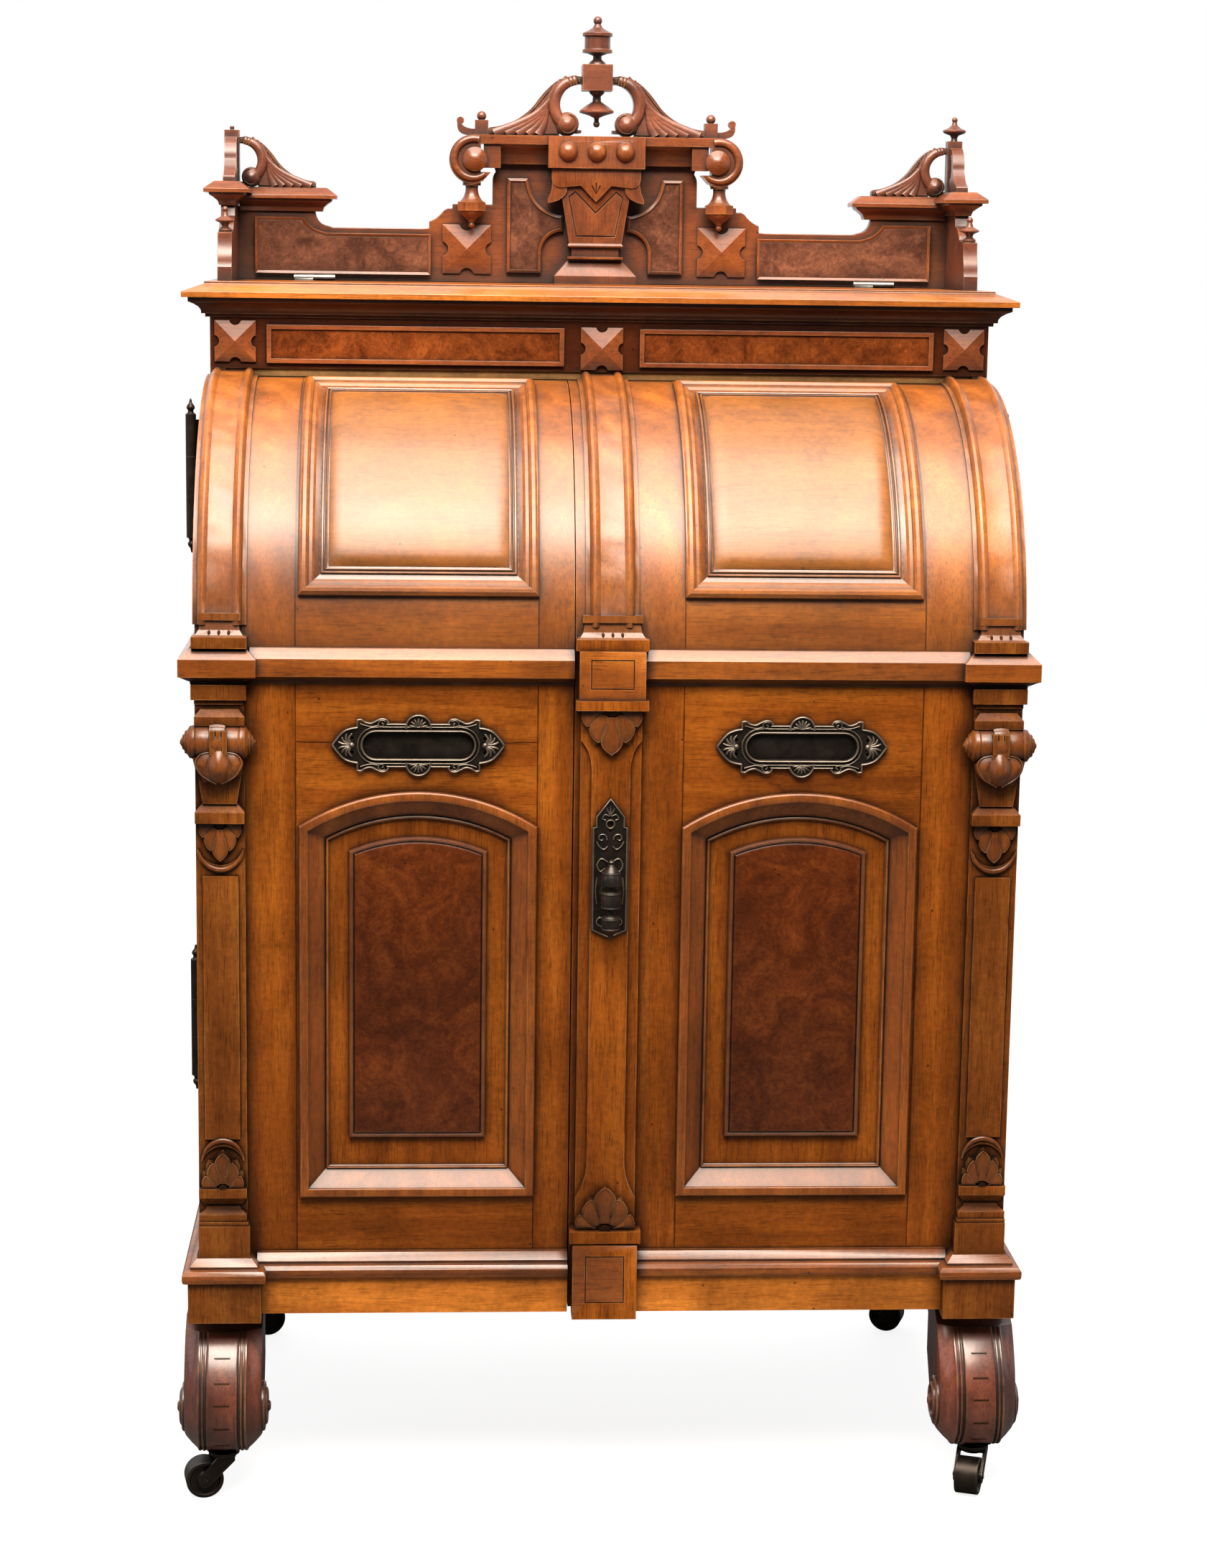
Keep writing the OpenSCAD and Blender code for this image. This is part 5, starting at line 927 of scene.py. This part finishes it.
def escutcheon_ornament():
    """Edge bead, keyhole collar, and leaf and scroll work of the lock plate."""
    face = facing(0, 7, HANDLE_Z)
    edge = [(-17, 84), (-17, 97), (0, 119.5), (17, 97), (17, 84), (21, 83), (21, -47), (0, -56.5), (-21, -47),
            (-21, 83)]
    parts = [bead(edge, 2.6, face, 1.8, closed=True), bead(ring_path(0, 88, 5.2, 20), 2.0, face, 1.6, closed=True)]
    for right in (-1, 1):
        parts += work_beads(LOCK_WORK, face, right)
    for lean in (-40, 0, 40):
        a = radians(lean)
        petal = [(wide * sin(a), 99 + tall * cos(a)) for wide, tall in ((0, 0), (4.5, 6), (8, 12))]
        parts.append(bead(petal, 3.0, face, 1.6, taper=lambda t: 1.0 - 0.7 * t))
    piece("escutcheon_ornament", join_parts(*parts), rubbed_iron, "right_door", 40)


def handle_rings():
    """Turned rings at the edges of the three bulbs of the handle."""
    parts = []
    for z, r in ((-38.5, 10.9), (-26, 11.2), (-11, 11.9), (6.5, 12.0), (18.5, 11.4), (32, 11.0)):
        ring = ((-1.5, -1.5), (0.4, -1.2), (0.9, 0), (0.4, 1.2), (-1.5, 1.5))
        parts.append(lathe([(r + out, z + up) for out, up in ring], 36))
    rings = moved(join_parts(*parts), Matrix.Translation((0, -24, HANDLE_Z)))
    piece("handle_rings", to_metres(rings), handle_iron, frame["nodes"]["door_handle"]["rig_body"], 40)


ornament_plate("letter_plate_ornament", -PANEL_X, "left_door")
ornament_plate("right_plate_ornament", PANEL_X, "right_door")
escutcheon_ornament()
handle_rings()

# ---- carving on the gallery ----


def scroll_leaf(place, w, h):
    """Flutes of the leaf, the band of the scroll with its collar, and its rolled end."""
    cx, cy = h * 0.055, h * 0.50
    ex, ey = h * 0.235, h * 0.190
    band = [polar(h * 0.39, a, cx, cy) for a in range(84, -62, -6)]
    rolled = moulding(lambda depth: ring_path(ex, ey, ey - depth), [(4, -20), (0, -18), (0, 1)], place)
    rolled[1].append(tuple(range(28)))
    parts = [bead(band, h * 0.185, place, h * 0.060, base=1.0, taper=lambda t: 0.85 + 0.25 * t), rolled,
             bead(spiral(ex, ey, h * 0.165, h * 0.120, 100, 420, 28), h * 0.05, place, h * 0.06, base=1.0),
             swell(ring_path(ex, ey, h * 0.189), (ex, ey), h * 0.13, place, 6, base=0.9)]
    for start, end in ((66, 0.93), (54, 0.80), (40, 0.68), (24, 0.565), (6, 0.46)):
        top = Vector(polar(h * 0.49, start, cx, cy))
        foot = Vector((w * end, 1.5))
        knee = (top.x + (foot.x - top.x) * 0.40, foot.y + (top.y - foot.y) * 0.36)
        path = curve(tuple(top), knee, tuple(foot), steps=9)
        parts.append(bead(path, w * 0.118, place, h * 0.04, taper=lambda t: 0.30 + 0.70 * t))
    for a in (68, 76, 84):
        ends = [polar(h * r, a, cx, cy) for r in (0.32, 0.46)]
        parts.append(bead(ends, h * 0.03, place, h * 0.03, base=h * 0.04))
    return join_parts(*parts)


def rim(outline, place):
    """A raised bevel round the edge of a flat tablet."""
    return moulding(lambda depth: inset(outline, depth),
                    [(-0.3, -6.5), (-0.3, -0.8), (0.3, 0.4), (3.4, 2.0), (4.0, 2.0), (4.6, 0.2)], place)


LOW_Z, HIGH_Z = Z_TOP + 13, Z_TOP + 14
LOW_TABLET = [
    (462, LOW_Z), (462, LOW_Z + 68), *bend((402, LOW_Z + 68), (392, LOW_Z + 50), (366, LOW_Z + 47), 6),
    (360, LOW_Z + 47), (230, LOW_Z + 47), (230, LOW_Z)][::-1]
HIGH_TABLET = [
    (121, HIGH_Z), (121, HIGH_Z + 128), (93, HIGH_Z + 128),
    *bend((92, HIGH_Z + 124), (86, HIGH_Z + 88), (52, HIGH_Z + 79), 8), (44, HIGH_Z + 79), (44, HIGH_Z + 57),
    *[polar(30, a, 44, HIGH_Z + 27) for a in range(80, -1, -10)], (74, HIGH_Z)]
BOX_FACES = [(0, 1, 3, 2), (4, 6, 7, 5), (0, 4, 5, 1), (2, 3, 7, 6), (0, 2, 6, 4), (1, 5, 7, 3)]

for side, tag in SIDES:
    leaf = scroll_leaf(facing(side * 21, BOARD_Y - 28, RAIL_TOP, side), 128, 84)
    piece(tag + "_pediment_leaf", leaf, dark_carved, smooth=45)
    leaf = scroll_leaf(facing(side * 487, 552, Z_TOP + 125, -side), 104, 70)
    piece(tag + "_corner_leaf", leaf, dark_carved, smooth=45)
    place = facing(side * 168, BOARD_Y - 34, RAIL_TOP - 33, side)
    band = [polar(27.5 - k * 0.07, 105 - 6 * k) for k in range(40)]
    piece(tag + "_rail_scroll", join_parts(
        bead(band, 10.5, place, 4.5, taper=lambda t: 1.0 if t < 0.75 else 1.0 - 1.6 * (t - 0.75)),
        swell(ring_path(-2, 0, 16.6, 24), (-2, 0), 8.0, place, 6, base=4.0)), red_across, smooth=45)
    low, high = at(side * 131, BOARD_Y - 30, RAIL_TOP - 44), at(side * 154, BOARD_Y - 8, RAIL_TOP - 9)
    corners = [(x, y, z) for x in (low.x, high.x) for y in (low.y, high.y) for z in (low.z, high.z)]
    piece(tag + "_rail_neck", (corners, BOX_FACES), red_across)
    place = facing(0, BOARD_Y - 7, 0, side)
    piece(tag + "_tablet_rims", join_parts(rim(LOW_TABLET, place), rim(HIGH_TABLET, place)), red_across, smooth=24)
# Three short dark beads paint the shade of incised cuts at the apron's point.
face = facing(0, BOARD_Y - 32, RAIL_TOP - 64)
piece("apron_cuts", join_parts(*[
    bead([(0, -13), (5.5 * k, 2 - 4 * abs(k))], 2.2, face, 0.5, taper=lambda t: 0.4 + 0.6 * t) for k in (-1, 0, 1)
]), dark_line)

# ---- feet ----

# Across a foot: place and how far the front stands out there. The middle band is flat and carries the cuts.
FOOT_SECTION = [(-49, -20), (-47.6, -17.5), (-40, -9), (-32.5, -2), (-31.5, 0.6), (-30.8, 2.6), (-29.4, 3.4),
                (-28, 2.6), (-27.4, 0.9), (-26.2, 0.9), (-25.6, 3.2), (-24.2, 4.2), (-22.8, 3.4), (-22.2, 1.6),
                (-20.6, 1.6), (-20.0, 4.6), (-18.8, 6.2), (-17, 6.6)]
MIDDLE_BAND, BAND_OUT = len(FOOT_SECTION) - 1, 6.6
FOOT_SECTION += mirrored(FOOT_SECTION[::-1], -1)
ROSETTE = [(32, 0), (32, 2.4), (30.5, 4), (27.5, 4.4), (26, 3.4), (24.6, 3.4), (23.4, 6.4), (20.6, 7.4), (18.2, 6.2),
           (16.5, 4.6), (12, 4.6), (8.5, 6), (7, 9), (4.5, 10.8), (0, 11)]
CUT_HEIGHTS = (79, 105, 135, 161, 188)
BEAM_END = 98


def foot_outline(f):
    """Side outline of a scroll foot as (y, z), its front set out by f and its foot ending on z = 58."""
    out = bend((20 - f * 0.5, 214), (-31 - f, 168), (-33 - f, FOOT_Z), 12)[:-1]
    for k in range(15):
        r = 55 + (f if f < 0 else f * cos(radians(90 * k / 14)))
        out.append(polar(r, 180 + 90 * k / 14, FOOT_Y, FOOT_Z))
    back = min(f, 0)
    return out + [(32, 58 - back), (72 + back * 0.3, 92 - back * 0.6), (100, 154), (100, 226), (50, 226), (32, 214)]


def scroll_foot(name, side, turn):
    """One moulded scroll foot with its rosettes and the row of short cuts down its middle."""
    def place(x, y, z):
        return at(side * FOOT_X + x, y if turn > 0 else 2 * MID_Y - y, z)

    rings = [foot_outline(f) for _, f in FOOT_SECTION]
    n = len(rings[0])
    points = [place(x, *p) for (x, _), ring in zip(FOOT_SECTION, rings) for p in ring]
    # The middle band stays open underneath, where the caster's socket is let in.
    faces = [face for face in strips(len(rings), n) if face[0] // n != MIDDLE_BAND or not 19 <= face[0] % n <= 26]
    faces += [tuple(range(n)), tuple(range((len(rings) - 1) * n, len(rings) * n))]
    parts = [(points, faces)]
    for out in (-1, 1):
        matrix = Matrix.Translation((out * 48.8, FOOT_Y, FOOT_Z)) @ Matrix.Rotation(radians(90 * out), 4, "Y")
        points, faces = moved(lathe(ROSETTE, 36), matrix)
        parts.append(([place(*p) for p in points], faces))
    piece(name, join_parts(*parts), dark_feet, smooth=34)
    # Thin dark slabs paint the shade of the incised cuts down the middle band.
    cuts = []
    front = [Vector(p) for p in foot_outline(BAND_OUT)]
    for z in CUT_HEIGHTS:
        above, below = next(pair for pair in zip(front, front[1:]) if pair[1].y <= z)
        spot = above.lerp(below, (above.y - z) / (above.y - below.y))
        along = (below - above).normalized()
        out = Vector((along.y, -along.x))
        corners = [(x, spot + along * d + out * h) for h in (0.2, -1.0)
                   for x, d in ((-10, -1.1), (10, -1.1), (10, 1.1), (-10, 1.1))]
        cuts.append(([place(x, q.x, q.y) for x, q in corners], [(0, 1, 2, 3), (4, 5, 6, 7), *strips(2, 4)]))
    piece(name + "_cuts", join_parts(*cuts), dark_line)


def cut_trestles():
    """The CAD trestles without their scroll feet, which are made anew with their mouldings."""
    mesh, shape = cad_copy("trestles")
    for y, out in ((BEAM_END, -1), (2 * MID_Y - BEAM_END, 1)):
        bmesh.ops.bisect_plane(shape, geom=shape.verts[:] + shape.edges[:] + shape.faces[:],
                               plane_co=at(0, y, 0), plane_no=(0, out, 0), clear_outer=True)
    shape.to_mesh(mesh)
    shape.free()
    placed("trestle_beams", mesh, dark_feet, "carcase", ("trestles",), 30, 0.8)


cut_trestles()
for side, tag in SIDES:
    scroll_foot("front_" + tag + "_foot", side, 1)
    scroll_foot("rear_" + tag + "_foot", side, -1)

# ---- CAD nodes that keep their shape ----


def above_arc(x, y, z):
    return z > Z_ARC + 12


def on_moulding(x, y, z):
    return Z_MID < z < Z_ARC or Z_RAIL < z < Z_LOWER


def under_moulding(x, y, z):
    return Z_MID - 1 < z < Z_MID + 9.9


def on_base_rail(x, y, z):
    return z < Z_RAIL + 1 and 60 < abs(x) < 430


def on_pyramid(x, y, z):
    """Faces of the carved blocks, not of the burl tablets."""
    if z < Z_TOP:
        return abs(abs(x) - 481) < 29 or abs(x) < 30
    return abs(abs(x) - 176) < 34.5


def on_gallery(x, y, z):
    return z > Z_TOP


def on_tablet_edge(x, y, z):
    return y > (341 if z < Z_TOP else BOARD_Y) - 1.9 or (z < Z_TOP and y < 335.6)


def wider_opening(x, y, z):
    """Sets the arched opening of a door front out to the foot of its moulding's slope."""
    u = abs(x) - PANEL_X
    if abs(u) > 124 or not 415 < z < 908:
        return x, y, z
    return copysign(PANEL_X + u * 136 / 122.5, x), y, z + (-13.5 if z < 500 else 12.5)


for tag in ("left", "right"):
    eased(tag + "_door_front", walnut_framed, 0.5, reshape=wider_opening)

# Faces just under the mid moulding take the walnut of painted shade.
UPPER_TRIM = [(above_arc, walnut_round), (under_moulding, walnut_shade)]
DOOR_TRIM = [*UPPER_TRIM, (on_base_rail, walnut_rail), (on_moulding, walnut_moulded)]
for node, material, width, *others in (
    ("carcase_sides", walnut_up, 1.0),
    ("frieze", red_frieze, 0.6),
    ("burl_panels", burl_warm, 0.7, (on_pyramid, red_across), (on_tablet_edge, red_across), (on_gallery, burl_dusk)),
    # The cornice's lower steps take the walnut of painted shade.
    ("cornice", walnut_cornice, 0.6, (lambda x, y, z: z < Z_CORNICE + 24.8, walnut_shade)),
    ("gallery_deck", red_across, 0.6),
    ("gallery_board", red_across, 1.0),
    ("scroll_rail", red_across, 0.8),
    ("pediment", dark_carved, 0.8),
    ("finials", dark_carved, 0.4),
    ("urn_panel", red_up, 0.7),
    ("corner_caps", red_across, 0.7),
    ("corner_scrolls", dark_carved, 0.8),
    ("side_returns", dark_carved, 0.8),
    ("case_mouldings", walnut_deep, 0.6),
    ("left_door_trim", walnut_brown, 0.6, *DOOR_TRIM),
    ("right_door_trim", walnut_brown, 0.6, *DOOR_TRIM),
    ("centre_pilaster", walnut_up, 0.6, *UPPER_TRIM, (on_moulding, walnut_moulded)),
    ("left_door_box", oak_inside, 0.5, (lambda x, y, z: x < 0.1 - CASE_HALF, walnut_up)),
    ("right_door_box", oak_inside, 0.5, (lambda x, y, z: x > CASE_HALF - 0.1, walnut_up)),
    ("lid", walnut_across, 0.8, (lambda x, y, z: z > Z_TOP + 0.05, worn_steel)),
    ("case_hinges", dark_iron, 0.0, (on_gallery, worn_steel)),
    ("letter_plate", dark_iron, 0.3),
    ("name_plate", dark_iron, 0.3),
    ("escutcheon", dark_iron, 0.3),
    ("door_handle", handle_iron, 0.2),
):
    eased(node, material, width, others)

KEPT = (
    (back_boards, "carcase_back"),
    (oak_inside, "carcase_bottom carcase_partitions upper_pigeonholes lower_pigeonholes well_tray left_door_shelves "
                 "drawer_left_upper drawer_left_lower drawer_right_upper drawer_right_lower"),
    (walnut_across, "writing_flap"),
    (flap_hide, "flap_leather"),
    (walnut_round_framed, "left_door_shell right_door_shell"),
    (box_cloth, "file_boxes"),
    (worn_brass, "latch_bolt"),
    (dark_iron, "lock_case letter_flap caster_sockets left_door_hardware right_door_hinges "
                + " ".join(name for name in frame["nodes"] if name.startswith(("fork", "wheel")))),
)
for material, names in KEPT:
    for name in names.split():
        mesh = frame["nodes"][name].data
        mesh.materials.clear()
        mesh.materials.append(material)

# ---- studio ----

WARM_WHITE = (1, 0.93, 0.82)


def soft_light(name, place, target, wide, high, power, tint=(1, 1, 1)):
    data = bpy.data.lights.new(name, "AREA")
    data.shape = "RECTANGLE"
    data.size, data.size_y = wide, high
    data.energy = power
    data.color = tint
    lamp = show(name, data)
    lamp.location = place
    lamp.rotation_mode = "QUATERNION"
    lamp.rotation_quaternion = (Vector(target) - Vector(place)).to_track_quat("-Z", "Y")


soft_light("overhead", (-0.1, -0.95, 3.4), (0, -0.2, 1.2), 2.6, 2.1, 160, WARM_WHITE)
soft_light("front_high", (-0.5, -2.75, 4.2), (0, 0, 0.8), 3.2, 1.4, 235, WARM_WHITE)
soft_light("left_window", (-3.0, -1.0, 1.6), (0, 0, 0.9), 1.4, 2.0, 10)
soft_light("right_window", (3.0, -1.0, 1.6), (0, 0, 0.9), 1.4, 2.0, 8)

# The room is white to the camera and behind the object, and dark in front of it for what the polish reflects.
world = bpy.data.worlds.new("white_room")
world.use_nodes = True
room = Net(world.node_tree)
toward = room.add("ShaderNodeSeparateXYZ", {0: room.add("ShaderNodeTexCoord")["Generated"]})[1]
wall = room.ramp(room.plus(room.times(toward, 0.5), 0.5), (0.50, (0.05, 0.05, 0.052)), (0.64, 1), smooth=True)
background = room.nodes["Background"].inputs
room.link(room.mix(room.add("ShaderNodeLightPath")["Is Camera Ray"], wall, (1, 1, 1)), background[0])
background[1].default_value = 1.0
bpy.context.scene.world = world

floor_shape = bmesh.new()
bmesh.ops.create_grid(floor_shape, x_segments=8, y_segments=8, size=6)
floor_mesh = bpy.data.meshes.new("pale_floor")
floor_shape.to_mesh(floor_mesh)
floor_shape.free()
floor = show("pale_floor", floor_mesh)
material, net, shader = new_material("pale_paper")
rays = net.add("ShaderNodeLightPath")
tone = net.mix(net.noise(net.place(), 1.2, 2), (0.23, 0.23, 0.23), (0.27, 0.27, 0.27))
net.link(net.mix(rays["Is Glossy Ray"], tone, (0.06, 0.06, 0.06)), shader["Base Color"])
net.link(net.mix(rays["Is Camera Ray"], (0, 0, 0), (1, 1, 1)), shader["Emission Color"])
shader["Emission Strength"].default_value = 0.86
shader["Roughness"].default_value = 0.8
floor_mesh.materials.append(material)

# ---- camera, from the fit to the photograph ----

PHOTO_HIGH, FOCAL_PIXELS, SENSOR = 2184, 4246.291, 36
yaw, pitch, roll = radians(3.4105), radians(10.088), radians(0.8205)
forward = Vector((sin(yaw) * cos(pitch), cos(yaw) * cos(pitch), -sin(pitch)))
level = Vector((cos(yaw), -sin(yaw), 0))
up = level.cross(forward)
right = cos(roll) * level + sin(roll) * up
top = -sin(roll) * level + cos(roll) * up
camera_data = bpy.data.cameras.new("photo_camera")
camera_data.sensor_fit = "AUTO"
camera_data.sensor_width = SENSOR
camera_data.lens = FOCAL_PIXELS * SENSOR / PHOTO_HIGH
camera_data.clip_end = 50
camera = show("photo_camera", camera_data)
turn = Matrix((right, top, -forward)).transposed().to_4x4()
camera.matrix_world = Matrix.Translation(at(-231.198, -3714.52, 1591.99)) @ turn
bpy.context.scene.camera = camera
bpy.context.scene.view_settings.view_transform = "Standard"
